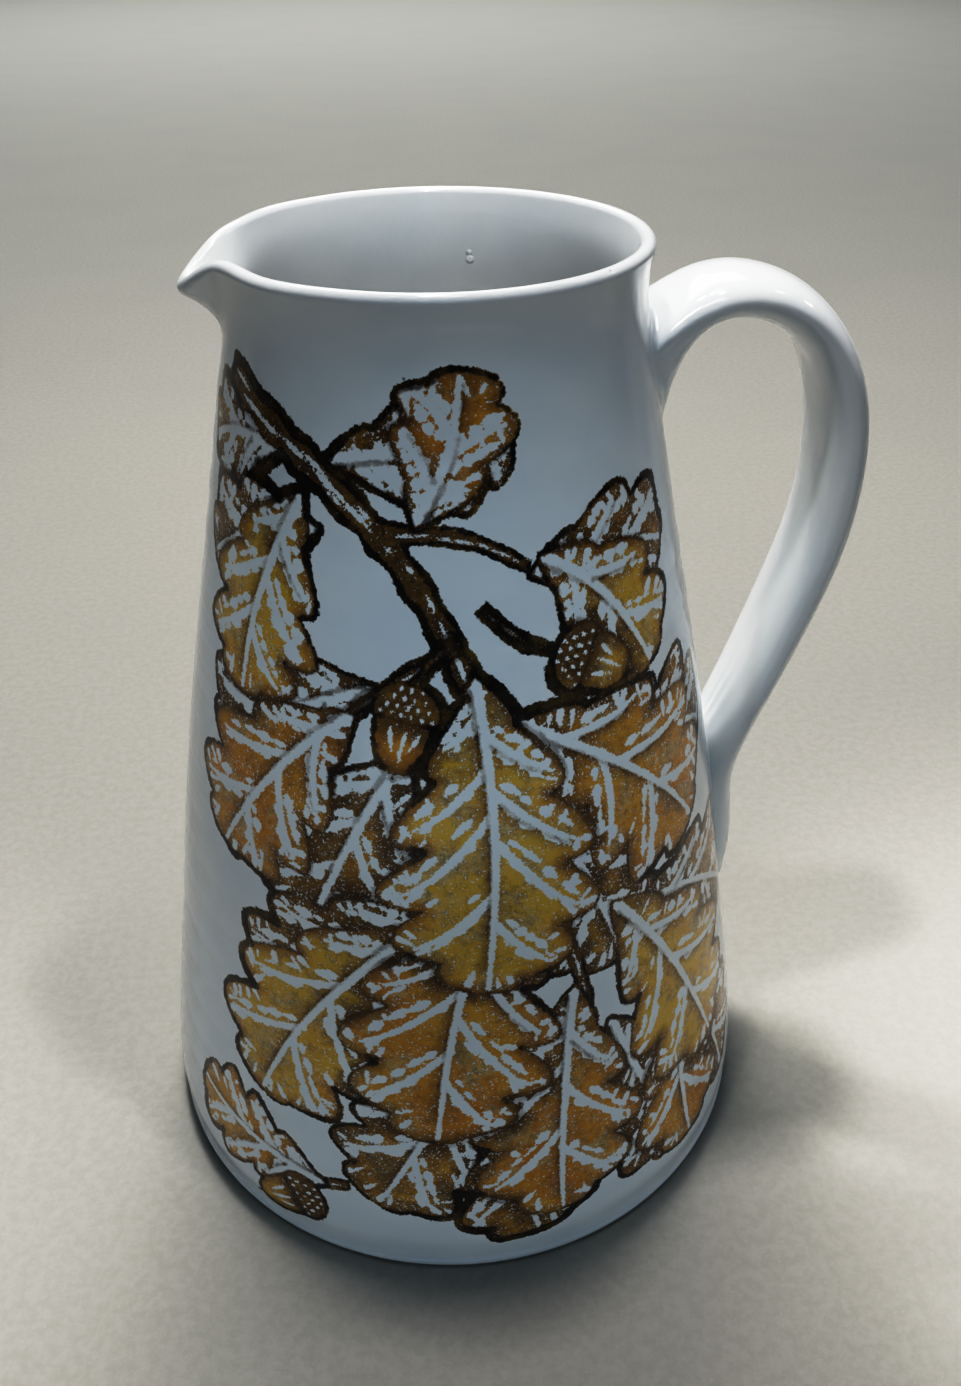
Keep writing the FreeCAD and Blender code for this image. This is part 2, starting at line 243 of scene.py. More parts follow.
def make_leaf(x, y, ang, length, width, curve=0.0, lobes=4, deep=0.42, tone=0, seed=1, stem=8.0):
    rng = np.random.default_rng(seed)
    leaf = dict(x=x, y=y, a=math.radians(ang), w=width, k=math.radians(curve) / length, lobes=lobes,
                deep=deep, phase=rng.uniform(0.25, 0.4), stagger=rng.uniform(0.5, 0.9), L=length, rim=0.62)
    sides = []
    for side in (1, -1):
        u = np.linspace(0.0, 1.0, 110)
        w = half_width(u, leaf, side) + 0.35
        lean = 0.34 * w
        sides.append(place(u * length * 0.93 + lean, side * w, leaf))
    leaf["outline"] = np.concatenate([sides[0], sides[1][::-1]])
    # wax strokes: midrib, side veins to the lobes, and short dabs between them
    s = []
    u = np.linspace(0.02, 0.95, 16)
    s.append((place(u * length, 0.5 * np.sin(u * 5 + seed), leaf), np.interp(u, [0, .9, 1], [1.5, .7, .35])))
    for side in (1, -1):
        ph = leaf["phase"] + (0.5 if side < 0 else 0.0) * leaf["stagger"]
        for j in range(-1, lobes + 2):
            uc = (j + 0.5 - ph) / lobes
            if not 0.10 < uc < 0.90:
                continue
            w = float(half_width(np.array(uc), leaf, side))
            tip_u, tip_v = uc * length * 0.93 + 0.34 * w + 0.5, w * 0.80
            u0 = tip_u - tip_v * rng.uniform(0.80, 1.0)
            t = np.linspace(0, 1, 7)
            uu = u0 + (tip_u - u0) * (t + 0.12 * np.sin(np.pi * t))
            vv = side * tip_v * t
            s.append((place(uu, vv, leaf), np.interp(t, [0, .5, 1], [1.15, 1.1, 0.5])))
            # dabs beside the vein
            for q in range(leaf.get("dabs", 4)):
                f = 0.18 + 0.2 * q + rng.uniform(-.04, .04)
                for off in (-1, 1):
                    if rng.random() < 0.16:
                        continue
                    du = off * rng.uniform(2.4, 3.6) * (1 - 0.25 * f)
                    f0, f1 = f, min(f + rng.uniform(0.10, 0.20), 0.98)
                    tt = np.linspace(f0, f1, 4)
                    uu = u0 + (tip_u - u0) * tt + du + rng.uniform(-.3, .3) + off * 0.8 * (tt - f0)
                    vv = side * tip_v * (tt + rng.uniform(-.02, .02))
                    r = rng.uniform(0.7, 1.7)
                    s.append((place(uu, vv, leaf), np.interp(np.arange(4), [0, 1, 3], [r * .6, r, r * .45])))
    # short dabs along the rim, pointing in
    o = leaf["outline"]
    cen = place(np.array([length * 0.5]), np.array([0.0]), leaf)[0]
    seg = np.hypot(*(np.roll(o, -1, 0) - o).T)
    d = np.cumsum(seg)
    pos = 3.0
    while pos < d[-1] - 3:
        i = int(np.searchsorted(d, pos))
        t = o[(i + 2) % len(o)] - o[i - 2]
        t = t / (np.hypot(*t) + 1e-9)
        nrm = np.array([t[1], -t[0]])
        if np.dot(cen - o[i], nrm) < 0:
            nrm = -nrm
        nrm = nrm + 0.35 * rng.standard_normal() * t
        a0, ln = rng.uniform(1.7, 2.4), rng.uniform(1.8, 4.2)
        r = rng.uniform(0.5, 1.15)
        if rng.random() < leaf["rim"]:
            q = np.array([o[i] + nrm * a0, o[i] + nrm * (a0 + ln * .5), o[i] + nrm * (a0 + ln)])
            s.append((q, np.array([r, r * .9, r * .3])))
        pos += rng.uniform(2.4, 4.6)
    leaf["wax"] = s
    # dark brush veins beside the white ones
    ink = []
    u = np.linspace(0.05, 0.85, 14)
    ink.append((place(u * length, 0.5 * np.sin(u * 5 + seed) - 1.6 + 0.5 * u, leaf), np.interp(u, [0, .3, 1], [.7, .42, .1])))
    for p, w in s[1:1 + 2 * lobes]:
        if len(p) == 7:
            g = np.gradient(p, axis=0)
            g /= np.hypot(g[:, 0], g[:, 1])[:, None] + 1e-9
            off = np.stack([-g[:, 1], g[:, 0]], -1) * (-1.35)
            ink.append(((p + off)[1:], np.array([.45, .42, .36, .28, .2, .1])))
    leaf["ink"] = ink
    leaf["tone"] = tone
    leaf["seed"] = seed
    leaf["line"] = rng.uniform(0.75, 1.15)
    leaf["kind"] = "leaf"
    return leaf


def make_acorn(x, y, ang, size, tone=1, seed=1):
    """nut with a cap; the stalk end is at (x, y) and the nut points along ang"""
    rng = np.random.default_rng(seed)
    leaf = dict(x=x, y=y, a=math.radians(ang), k=0.0, L=size, w=size * .62, seed=seed)
    t = np.linspace(0, 1, 40)
    w = size * 0.30 * np.sqrt(np.clip(1 - ((t - 0.30) / 0.70) ** 2, 0, 1)) ** 0.92
    w = np.where(t < 0.30, size * 0.30 * (0.93 + 0.07 * t / 0.30), w)
    u = size * (0.22 + 0.78 * t)
    nut = np.concatenate([place(u, w, leaf), place([size * 1.06], [0.0], leaf), place(u[::-1], -w[::-1], leaf)])
    cu = np.linspace(0, 1, 30)
    cw = size * 0.36 * np.sqrt(np.clip(1 - (1 - np.clip(cu * 1.25, 0, 1)) ** 2, 0, 1)) * (1 - 0.10 * np.clip(cu - .8, 0, 1) / .2)
    cap = np.concatenate([place(size * 0.42 * cu, cw, leaf), place(size * 0.42 * cu[::-1], -cw[::-1], leaf)])
    nut_wax, cap_wax = [], []
    for v in (-0.13, 0.03, 0.17):
        uu = np.linspace(0.52, 0.90 - abs(v), 6) * size
        nut_wax.append((place(uu, size * v * np.linspace(1, .55, 6), leaf), np.full(6, size * 0.021) * [.5, 1, 1.2, 1, .7, .3]))
    for i in range(4):
        for j in range(-3, 4):
            uu = (0.07 + 0.095 * i) * size
            vv = (j + (0.5 if i % 2 else 0)) * size * 0.105
            half = np.interp(uu / (size * 0.42), cu, cw)
            if abs(vv) > half - size * 0.05:
                continue
            p = place([uu, uu + size * 0.035], [vv, vv * 1.02], leaf)
            cap_wax.append((p, np.array([size * 0.020, size * 0.012])))
    a = dict(leaf, outline=nut, wax=nut_wax, tone=tone, line=.85, kind="nut")
    b = dict(leaf, outline=cap, wax=cap_wax, tone=2, line=.85, kind="cap")
    return [a, b]


def make_twig(points, widths, tone=2, seed=1):
    """tapering branch with knots, with wax streaks along it"""
    rng = np.random.default_rng(seed)
    p = np.array(points, float)
    d = np.r_[0, np.cumsum(np.hypot(*np.diff(p, axis=0).T))]
    n = max(int(d[-1] / 2.0), 8)
    t = np.linspace(0, d[-1], n)
    # smooth the polyline by corner cutting
    q = p
    for _ in range(3):
        a = q[:-1] * .75 + q[1:] * .25
        b = q[:-1] * .25 + q[1:] * .75
        q = np.concatenate([q[:1], np.stack([a, b], 1).reshape(-1, 2), q[-1:]])
    e = np.r_[0, np.cumsum(np.hypot(*np.diff(q, axis=0).T))]
    t = np.linspace(0, e[-1], n)
    c = np.stack([np.interp(t, e, q[:, 0]), np.interp(t, e, q[:, 1])], -1)
    w = np.interp(t / e[-1], np.linspace(0, 1, len(widths)), widths) * (1 + 0.12 * np.sin(t * 0.55 + seed) + 0.06 * rng.standard_normal(n))
    g = np.gradient(c, axis=0)
    g /= np.hypot(g[:, 0], g[:, 1])[:, None]
    nn = np.stack([-g[:, 1], g[:, 0]], -1)
    out = np.concatenate([c + nn * w[:, None], (c - nn * w[:, None])[::-1]])
    wax = []
    i = 1
    while i < n - 4:
        L = int(rng.integers(3, 7))
        j = min(i + L, n - 1)
        o = rng.uniform(-.45, .45)
        pts = c[i:j] + nn[i:j] * (w[i:j] * o)[:, None]
        if len(pts) > 2:
            r = 0.16 * w[i:j].mean() + 0.15
            wax.append((pts, r * np.sin(np.linspace(.25, 2.9, len(pts)))))
        i += int(rng.integers(2, 5))
    return dict(x=c[0, 0], y=c[0, 1], a=0.0, k=0.0, L=e[-1], w=10.0, outline=out, wax=wax, tone=tone, line=.8,
                kind="twig", seed=seed)

def design():
    S = []
    # behind: dark leaves that fill the spray
    S.append(make_leaf(-34, 222, 172, 34, 24, 20, 3, .36, 3, 21))
    S.append(make_leaf(-26, 206, 184, 44, 30, 24, 3, .36, 3, 29))
    S.append(make_leaf(-24, 220, 10, 42, 26, -12, 3, .38, 3, 20))
    S.append(make_leaf(18, 196, 14, 46, 30, -30, 3, .38, 3, 22))
    S.append(make_leaf(28, 150, 8, 60, 40, -28, 4, .40, 3, 23))
    S.append(make_leaf(-14, 172, 192, 58, 38, 26, 4, .38, 3, 24))
    S.append(make_leaf(-8, 158, -126, 66, 44, 14, 4, .38, 3, 42))
    S.append(make_leaf(16, 150, -58, 66, 44, -10, 4, .38, 3, 43))
    S.append(make_leaf(48, 108, -6, 62, 42, -26, 4, .38, 3, 25))
    S.append(make_leaf(-2, 118, 206, 66, 42, 18, 4, .40, 3, 26))
    S.append(make_leaf(40, 78, -66, 66, 46, 12, 4, .38, 3, 27))
    S.append(make_leaf(62, 84, -50, 70, 42, -14, 4, .38, 3, 44))
    S.append(make_leaf(6, 78, -114, 64, 44, -10, 4, .38, 3, 28))
    S.append(make_leaf(14, 56, -84, 46, 40, 8, 3, .36, 3, 45))
    # branch
    S.append(make_twig([(-52, 236), (-34, 224), (-12, 206), (2, 182), (12, 150), (24, 118), (34, 86), (36, 66)],
                       [3.6, 3.2, 3.0, 2.6, 2.1, 1.7, 1.2], 2, 5))
    S.append(make_twig([(-12, 206), (4, 206), (18, 198)], [2.1, 1.5, 1.0], 2, 6))
    S.append(make_twig([(2, 182), (-14, 172), (-22, 166)], [2.0, 1.4, 1.0], 2, 7))
    S.append(make_twig([(16, 138), (0, 126), (-10, 116)], [1.7, 1.3, 1.0], 2, 8))
    # main leaves
    S.append(make_leaf(66, 74, -86, 58, 42, 10, 3, .42, 1, 46))
    S.append(make_leaf(30, 92, -98, 78, 50, 14, 4, .42, 1, 31))
    S.append(make_leaf(40, 112, -46, 84, 52, -16, 4, .42, 0, 32))
    S.append(make_leaf(-8, 114, -138, 84, 52, 22, 4, .42, 0, 33))
    S.append(make_leaf(12, 130, -108, 90, 56, 12, 5, .42, 1, 34))
    S.append(make_leaf(14, 164, -24, 78, 50, -24, 4, .42, 1, 35))
    S.append(make_leaf(-20, 166, -148, 66, 44, 26, 4, .42, 1, 36))
    S.append(make_leaf(6, 176, -82, 88, 54, -14, 5, .42, 0, 37))
    S.append(make_leaf(20, 200, -26, 50, 34, -34, 3, .40, 0, 38))
    S.append(make_leaf(-30, 214, -126, 58, 38, 24, 4, .40, 0, 39))
    S.append(make_leaf(-6, 207, 58, 36, 26, 30, 3, .40, 1, 40))
    # acorns
    S.append(make_twig([(8, 190), (16, 182), (26, 178)], [1.3, 1.0, 1.0], 2, 9))
    S += make_acorn(24, 179, -24, 23, 0, 3)
    S.append(make_twig([(2, 184), (-4, 178), (-7, 172)], [1.3, 1.0, 1.0], 2, 10))
    S += make_acorn(-7, 174, -104, 22, 1, 4)
    # fallen sprig low on the left
    S.append(make_twig([(-30, 30), (-44, 27), (-60, 32)], [1.5, 1.3, .9], 2, 11))
    S.append(make_leaf(-36, 28, 172, 54, 34, -20, 4, .40, 1, 41))
    S += make_acorn(-38, 23, -156, 24, 0, 5)
    return S


def decorate(px, py):
    n = len(px)
    px, py = px.astype(np.float32), py.astype(np.float32)
    cover = np.full(n, -40.0, np.float32)
    line = np.full(n, -40.0, np.float32)
    wax = np.full(n, -40.0, np.float32)
    tone = np.zeros((n, 4), np.float32)      # rust, umber, black, fleck
    for s in design():
        o = s["outline"]
        m = 9.0
        k = np.nonzero((px > o[:, 0].min() - m) & (px < o[:, 0].max() + m)
                       & (py > o[:, 1].min() - m) & (py < o[:, 1].max() + m))[0]
        if not len(k):
            continue
        x, y = px[k], py[k]
        sd = polygon_distance(x, y, o)
        wv = stroke_value(x, y, s["wax"]) if s["wax"] else np.full(len(k), -40.0, np.float32)
        u, v = leaf_space(x, y, s)
        un, vn = u / s["L"], v / (s["w"] * .5)
        edge = np.clip(1 - sd / 6.0, 0, 1)
        ph = s["seed"] * 1.7
        soft = 0.5 + 0.5 * np.sin(0.11 * x + ph) * np.sin(0.09 * y - 0.6 * ph + 0.05 * x)
        t = s["tone"]
        if s["kind"] == "twig":
            T = np.stack([0.5 * soft, 0.75 + 0.25 * soft, 0.25 + 0.5 * (1 - soft), 0.15 + 0 * soft], -1)
        elif s["kind"] == "cap":
            T = np.stack([0.4 + 0 * soft, 0.85 + 0 * soft, 0.25 + 0.3 * edge, 0.1 + 0 * soft], -1)
        elif s["kind"] == "nut":
            T = np.stack([0.25 + 0.5 * t + .3 * edge, 0.25 * edge + 0.25 * np.clip(.5 - un, 0, 1) * 2, .15 * edge, 0.12 + 0 * soft], -1)
        else:
            root = np.clip(1 - un * 2.2, 0, 1)
            wash = 0.5 + 0.5 * np.sin(0.23 * x + 0.17 * y + ph) * np.sin(0.19 * y - 0.11 * x + 2.1 * ph)
            vein = np.clip(1 - np.abs(vn) * 2.6, 0, 1)
            if t == 0:      # ochre leaf turning rust at the rim
                T = np.stack([0.04 + 0.60 * edge ** 1.4 + 0.45 * soft * wash, 0.02 + 0.34 * edge ** 3 + 0.40 * root + 0.20 * vein * (1 - soft),
                              0.04 * edge + 0.30 * root ** 2, 0.20 + 0.45 * soft], -1)
            elif t == 1:    # rust leaf with an umber rim
                T = np.stack([0.52 + 0.48 * soft, 0.04 + 0.42 * edge ** 1.8 + 0.35 * root + 0.30 * vein * (1 - wash),
                              0.10 * edge * wash + 0.35 * root ** 2, 0.20 + 0.50 * wash], -1)
            else:           # dark leaf behind
                T = np.stack([0.50 + 0.35 * soft, 0.48 + 0.30 * edge * wash, 0.15 + 0.40 * edge * soft + 0.35 * root, 0.45 + 0.35 * wash], -1)
        T = np.clip(T, 0, 1).astype(np.float32)
        iv = stroke_value(x, y, s["ink"]) if s.get("ink") else np.full(len(k), -40.0, np.float32)
        brush = (0.5 + 0.5 * np.sin(0.21 * x + ph) * np.sin(0.18 * y + 1.3 * ph + 0.06 * x))
        w = s["line"] * (0.15 + 1.35 * brush ** 1.5)
        ins = sd > 0
        # a shape lying on top leaves a dark pool round itself on what is under it
        pool = np.where(ins | (cover[k] <= 0), 0.0, np.clip(1 + sd / (4.0 + 4.0 * brush), 0, 1) ** 1.4)[:, None]
        tone[k] = tone[k] + pool * (np.array([[0.5, 1.0, 0.85, 0.55]], np.float32) - tone[k]) * np.array([[.5, .85, .75, .5]], np.float32)
        line[k] = np.where(ins, np.maximum(w - sd, np.minimum(iv, sd - 0.4)), np.maximum(line[k], w + sd))
        # strokes of a shape underneath end a little before the outline above them
        wax[k] = np.where(ins, np.minimum(wv, sd - 0.7), np.minimum(wax[k], -sd - 0.2))
        tone[k] = np.where(ins[:, None], T, tone[k])
        cover[k] = np.maximum(cover[k], sd)
    # heavier brush contour round the whole spray, thick in some places and thin in others
    far = (0.5 + 0.5 * np.sin(0.055 * px + 0.8) * np.sin(0.047 * py + 0.4)) ** 2
    rim = 0.35 + 2.1 * far + 0.35 * np.sin(0.5 * px) * np.sin(0.43 * py)
    near = (cover > -4.0) & (cover < 1.0)
    line = np.where(near, np.maximum(line, rim - np.abs(cover + 0.3)), line)
    cover = np.where(near, np.maximum(cover, np.minimum(rim + cover - 0.9, 0.2)), cover)
    return cover, line, wax, tone


# ------------------------------------------------------------------ thrown wall
wall_r = Spline(WALL_Z, WALL_R)


def lip_z(d):
    return LIP_Z - SPOUT_DROP * np.exp(-(np.abs(d) / SPOUT_DROP_ANGLE) ** SPOUT_DROP_SHAPE)


def spout_r(d, z):
    g = np.exp(-(np.abs(d) / SPOUT_ANGLE) ** SPOUT_SHAPE)
    v = np.clip((z - (lip_z(d) - SPOUT_THROAT)) / SPOUT_THROAT, 0.0, 1.2)
    s = SPOUT_SHOULDER * np.exp(-((np.abs(d) - SPOUT_SHOULDER_AT) / 0.22) ** 2)
    return SPOUT_REACH * g * v ** 3 + s * smooth((z - 0.80) / 0.19)


def thick(z):
    return np.interp(z, THICK_Z, THICK_T)


def from_spout(th):
    return np.arctan2(np.sin(th - math.pi), np.cos(th - math.pi))


def middle(v, th):
    """middle of the wall, as fractions of HEIGHT; v up the wall, th round it"""
    d = from_spout(th)
    top = lip_z(d)
    z = v * top
    zz = np.minimum(z + (LIP_Z - top) * smooth((z - 0.85) / 0.14), LIP_Z)
    r = wall_r(zz) - thick(z) / 2 + spout_r(d, z)
    return np.stack([r * np.cos(th), r * np.sin(th), z + 0 * r], -1)


def wall_frame(v, th):
    e = 1e-3
    v1 = np.minimum(v, 1.0)
    p = middle(v, th)
    up = unit(middle(v1, th) - middle(v1 - e, th))
    side = unit(middle(v, th + e) - middle(v, th - e))
    n = unit(np.cross(side, up))
    up = unit(np.cross(n, side))
    return p, n, up, (thick(v * lip_z(from_spout(th))) / 2)[..., None]


def outer_r(z):
    return wall_r(np.asarray(z) / HEIGHT) * HEIGHT


def paint_plane(th, z):
    """wall point to the plane it unrolls to; z in mm"""
    slant = z / 0.9869
    apex = 539.0
    rho = apex - slant
    k = outer_r(z) / rho
    a = (np.arctan2(np.sin(th - PAINT_AZ), np.cos(th - PAINT_AZ))) * k
    return rho * np.sin(a), apex - rho * np.cos(a)


def rings_depth(th, z, inside=False):
    """throwing rings: how far the finger pressed the wall in, mm"""
    turn = (th - math.pi) / (2 * math.pi)
    wob = 0.9 * np.sin(2 * th + 0.021 * z) + 0.6 * np.sin(3 * th - 0.034 * z + 1.0)
    pitch = 11.5 if not inside else 13.0
    ph = 2 * math.pi * (z + pitch * turn + wob) / pitch
    beat = 0.55 + 0.45 * np.sin(z * 0.043 + 1.3 * np.sin(th + 0.5))
    w = 0.5 - 0.5 * np.cos(ph + 0.5 * np.sin(ph))
    fine = 0.5 - 0.5 * np.cos(2 * math.pi * (z + 3.1 * turn + wob * .4) / 3.1)
    a = (0.30 if inside else 0.17) * beat * w + 0.015 * fine
    fade = smooth((z - 10.0) / 18.0) * smooth(((244.0 if inside else 232.0) - z) / 14.0)
    if not inside:      # wiped flat where the handle was pressed on
        t = np.arctan2(np.sin(th), np.cos(th))
        near = np.exp(-(t / 0.62) ** 4) * (np.exp(-((z - 224) / 34) ** 4) + np.exp(-((z - 85) / 48) ** 4))
        fade = fade * (1 - np.clip(near, 0, 1))
    return a * fade


def foot_step(z):
    """shallow step turned into the wall just above the foot band, mm"""
    return 0.60 * smooth((z - 2.9) / 1.3) * (1 - smooth((z - 4.4) / 10.0))


def columns():
    """angles round the wall: fine on the painted side, wider behind"""
    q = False
    nf, nb = (300, 80) if q else (500, 104)
    half = math.radians(92)
    fine = np.linspace(PAINT_AZ - half, PAINT_AZ + half, nf, endpoint=False)
    back = np.linspace(PAINT_AZ + half, PAINT_AZ - half + 2 * math.pi, nb, endpoint=False)
    return np.concatenate([fine, back])


def build_body(material):
    ths = columns()
    nt = len(ths)
    cs, sn = np.cos(ths), np.sin(ths)

    def circle(r, z):
        return np.stack([r * cs, r * sn, z + 0 * ths], -1)

    rows, zone = [], []                       # zone 0 underside, 1 outside, 2 lip, 3 inside
    for r in np.linspace(4.0, FOOT_RING_INNER_R - RECESS_DEPTH - 0.8, 22):
        rows.append(circle(r, RECESS_DEPTH))
        zone.append(0)
    for k in range(7):                        # recess corner, slope and ring inner edge
        a = k / 6.0
        r = FOOT_RING_INNER_R - RECESS_DEPTH - 0.8 + 2.6 * a
        z = RECESS_DEPTH * (1 - smooth(a))
        rows.append(circle(r, z))
        zone.append(0)
    for r in np.linspace(71.0, 84.0, 7):
        rows.append(circle(r, 0.0))
        zone.append(0)
    for k in range(9):
        a = math.pi / 2 * k / 8.0
        z = FOOT_EDGE_H * (1 - math.cos(a))
        rows.append(circle(outer_r(z) - 0.05 - FOOT_EDGE_R * (1 - math.sin(a)), z))
        zone.append(1)
    for z in np.arange(2.65, 5.0, 0.2):
        rows.append(circle(outer_r(z) - 0.05 - foot_step(z), z))
        zone.append(1)
    step = 0.56
    v0, v1 = 5.2 / HEIGHT, 1.0
    nv = int(v1 * HEIGHT / step)
    for v in np.linspace(v0, v1, nv):
        p, n, u, h = wall_frame(np.full(nt, v), ths)
        q = (p + n * h) * HEIGHT
        q = q - n * (rings_depth(ths, q[:, 2]) + foot_step(q[:, 2]) + 0.05 * smooth((120.0 - q[:, 2]) / 60.0))[:, None]
        rows.append(q)
        zone.append(1)
    p, n, u, h = wall_frame(np.full(nt, 1.0), ths)
    for k in range(1, 20):
        a = math.pi * k / 20.0
        rows.append((p + (n * math.cos(a) + u * math.sin(a)) * h) * HEIGHT)
        zone.append(2)
    zc = FLOOR_Z + FLOOR_CORNER
    for v in np.concatenate([np.linspace(1.0, 0.86, 36), np.linspace(0.855, zc / HEIGHT + 0.02, 110)]):
        p, n, u, h = wall_frame(np.full(nt, v), ths)
        q = (p - n * h) * HEIGHT
        q = q - n * rings_depth(ths, q[:, 2], True)[:, None] * 0.9 if v < 0.985 else q
        rows.append(q)
        zone.append(3)
    r0 = float(outer_r(zc)) - float(thick(zc / HEIGHT)) * HEIGHT
    for k in range(0, 15):
        a = math.pi / 2 * k / 14.0
        rows.append(circle(r0 - FLOOR_CORNER * (1 - math.cos(a)), zc - FLOOR_CORNER * math.sin(a)))
        zone.append(3)
    rs = np.linspace(FLOOR_FLAT_R - 1.5, 3.0, 34)
    for r in rs:                              # spiral left by the finger on the floor
        lift = 0.35 * (0.5 - 0.5 * np.cos(2 * math.pi * (r + 9 * ths / (2 * math.pi)) / 9.0)) * smooth((55 - r) / 10)
        q = circle(r, FLOOR_Z)
        q[:, 2] += lift
        rows.append(q)
        zone.append(3)
    R = len(rows)
    verts = np.concatenate(rows)
    quads = grid_faces(R, nt)
    a, b = len(verts), len(verts) + 1
    verts = np.concatenate([verts, [[0, 0, RECESS_DEPTH], [0, 0, FLOOR_Z + 0.1]]])
    c = np.arange(nt)
    d = (c + 1) % nt
    tris = np.concatenate([np.stack([np.full(nt, a), d, c], -1),
                           np.stack([np.full(nt, b), (R - 1) * nt + c, (R - 1) * nt + d], -1)])
    # painting, worked out at the outside points of the painted side
    cover = np.full(len(verts), -40.0, np.float32)
    line, wax = cover.copy(), cover.copy()
    tone = np.zeros((len(verts), 4), np.float32)
    zz = np.repeat(np.array(zone), nt)
    th = np.tile(ths, R)
    out = np.nonzero((zz == 1) & (verts[:R * nt, 2] > 1.5) & (verts[:R * nt, 2] < 240))[0]
    x, y = paint_plane(th[out], verts[out, 2])
    keep = np.abs(np.arctan2(np.sin(th[out] - PAINT_AZ), np.cos(th[out] - PAINT_AZ))) < math.radians(100)
    out, x, y = out[keep], x[keep], y[keep]
    cover[out], line[out], wax[out], tone[out] = decorate(x, y)
    ob = make_mesh("thrown_body", verts, quads, tris,
                   {"cover": np.clip(cover, -20, 20), "line": np.clip(line, -20, 20), "wax": np.clip(wax, -20, 20),
                    "tone": tone}, material)
    return ob


# ------------------------------------------------------------------ strap
arc = np.concatenate([[0.0], np.cumsum(np.hypot(np.diff(STRAP_X), np.diff(STRAP_Z)))])
strap_x, strap_z = Spline(arc, STRAP_X), Spline(arc, STRAP_Z)
strap_a, strap_b = Spline(arc, STRAP_A), Spline(arc, STRAP_B)
ROOT_END = arc[1] + 0.012
ROOT_TOP, ROOT_MID, ROOT_LOW = 0.910, 0.885, 0.785
ROOT_HALF_WIDTH, ROOT_DEPTH = 0.104, 0.018


def section(s, phis, shrink=1.0):
    x, z = float(strap_x(s)), float(strap_z(s))
    dx, dz = float(strap_x.slope(s)), float(strap_z.slope(s))
    L = math.hypot(dx, dz)
    tx, tz = dx / L, dz / L
    nx, nz = -tz, tx
    a, b = float(strap_a(s)) * shrink, float(strap_b(s)) * shrink
    c, q = np.cos(phis), np.sin(phis)
    flat = float(smooth((s - 0.10) / 0.16) * smooth((arc[-1] - 0.16 - s) / 0.30))   # flat of the inside face
    u = a * np.sign(c) * np.abs(c) ** np.where(c > 0, 1.0, 0.88 - 0.28 * flat)
    w = b * np.sign(q) * np.abs(q) ** np.where(c > 0, 1.0, 0.94 - 0.22 * flat)
    return np.stack([x + nx * u, w, z + nz * u], -1) * HEIGHT, np.array([tx, 0, tz])


def strap_surface(phis):
    """points of the strap's rings, at these section angles, for a spline along the strap"""
    end, t1 = section(ROOT_END, phis)
    c, q = np.cos(phis), np.sin(phis)
    up = np.maximum(c, 0.0)
    z = ROOT_MID + np.where(c > 0, ROOT_TOP - ROOT_MID, ROOT_MID - ROOT_LOW) * c
    wr = wall_r(z)
    th = ROOT_HALF_WIDTH * q * (1 - 0.42 * (1 - c) / 2) / wr
    n = unit(np.stack([np.cos(th), np.sin(th), 0.17 + 0 * th], -1))
    p = np.stack([wr * np.cos(th), wr * np.sin(th), z], -1)
    back = np.array([float(wall_r(ROOT_MID)), 0, ROOT_MID]) - p
    back = unit(back - n * np.sum(back * n, -1, keepdims=True))
    lead = unit(n * (0.66 + 0.10 * c)[:, None] + back * (0.78 * (1 - up))[:, None]
                + np.stack([0 * c, 0 * c, 0.46 * up], -1))
    ring = (p - n * ROOT_DEPTH) * HEIGHT
    bent = (p - n * (ROOT_DEPTH + 0.035)) * HEIGHT
    rings = [bent]
    w = np.abs(c) ** 1.5
    l0 = np.where(c > 0, 11.0, 26.0) * w + 14.0 * (1 - w)
    l1 = np.where(c > 0, 14.0, 26.0) * w + 20.0 * (1 - w)
    for k in range(15):
        u = k / 15.0
        h00, h10 = 2 * u ** 3 - 3 * u ** 2 + 1, u ** 3 - 2 * u ** 2 + u
        h01, h11 = -2 * u ** 3 + 3 * u ** 2, u ** 3 - u ** 2
        rings.append(ring * h00 + lead * (l0 * h10 * 1.5)[:, None] + end * h01 + t1 * (l1 * h11 * 1.5)[:, None])
    m = 46
    for k in range(m + 1):
        rings.append(section(ROOT_END + (arc[-1] - ROOT_END) * k / m, phis)[0])
    e = arc[-1]
    for ds, sh in ((0.0025, 0.95), (0.0050, 0.84), (0.0065, 0.68), (0.0074, 0.50), (0.0079, 0.30), (0.0081, 0.04)):
        pts, t = section(e, phis, sh)
        rings.append(pts + t * (ds * HEIGHT))
    rings = np.stack(rings)
    return rings


def strap_params(rings):
    step = np.linalg.norm(np.diff(rings, axis=0), axis=-1).mean(1)
    return np.concatenate([[0.0], np.cumsum(np.maximum(step, 1e-3))])


BASE_PHI = np.linspace(0, 2 * math.pi, 40, endpoint=False)
V_PAR = strap_params(strap_surface(BASE_PHI))      # one parameter along the strap for every angle, mm


def strap_points(phis, vs):
    """points (len(vs), len(phis), 3) of the strap; vs along it in mm"""
    return Spline(V_PAR, strap_surface(phis))(vs)


def clearance(p):
    """height over the outside of the wall, mm"""
    return np.hypot(p[..., 0], p[..., 1]) - outer_r(p[..., 2])


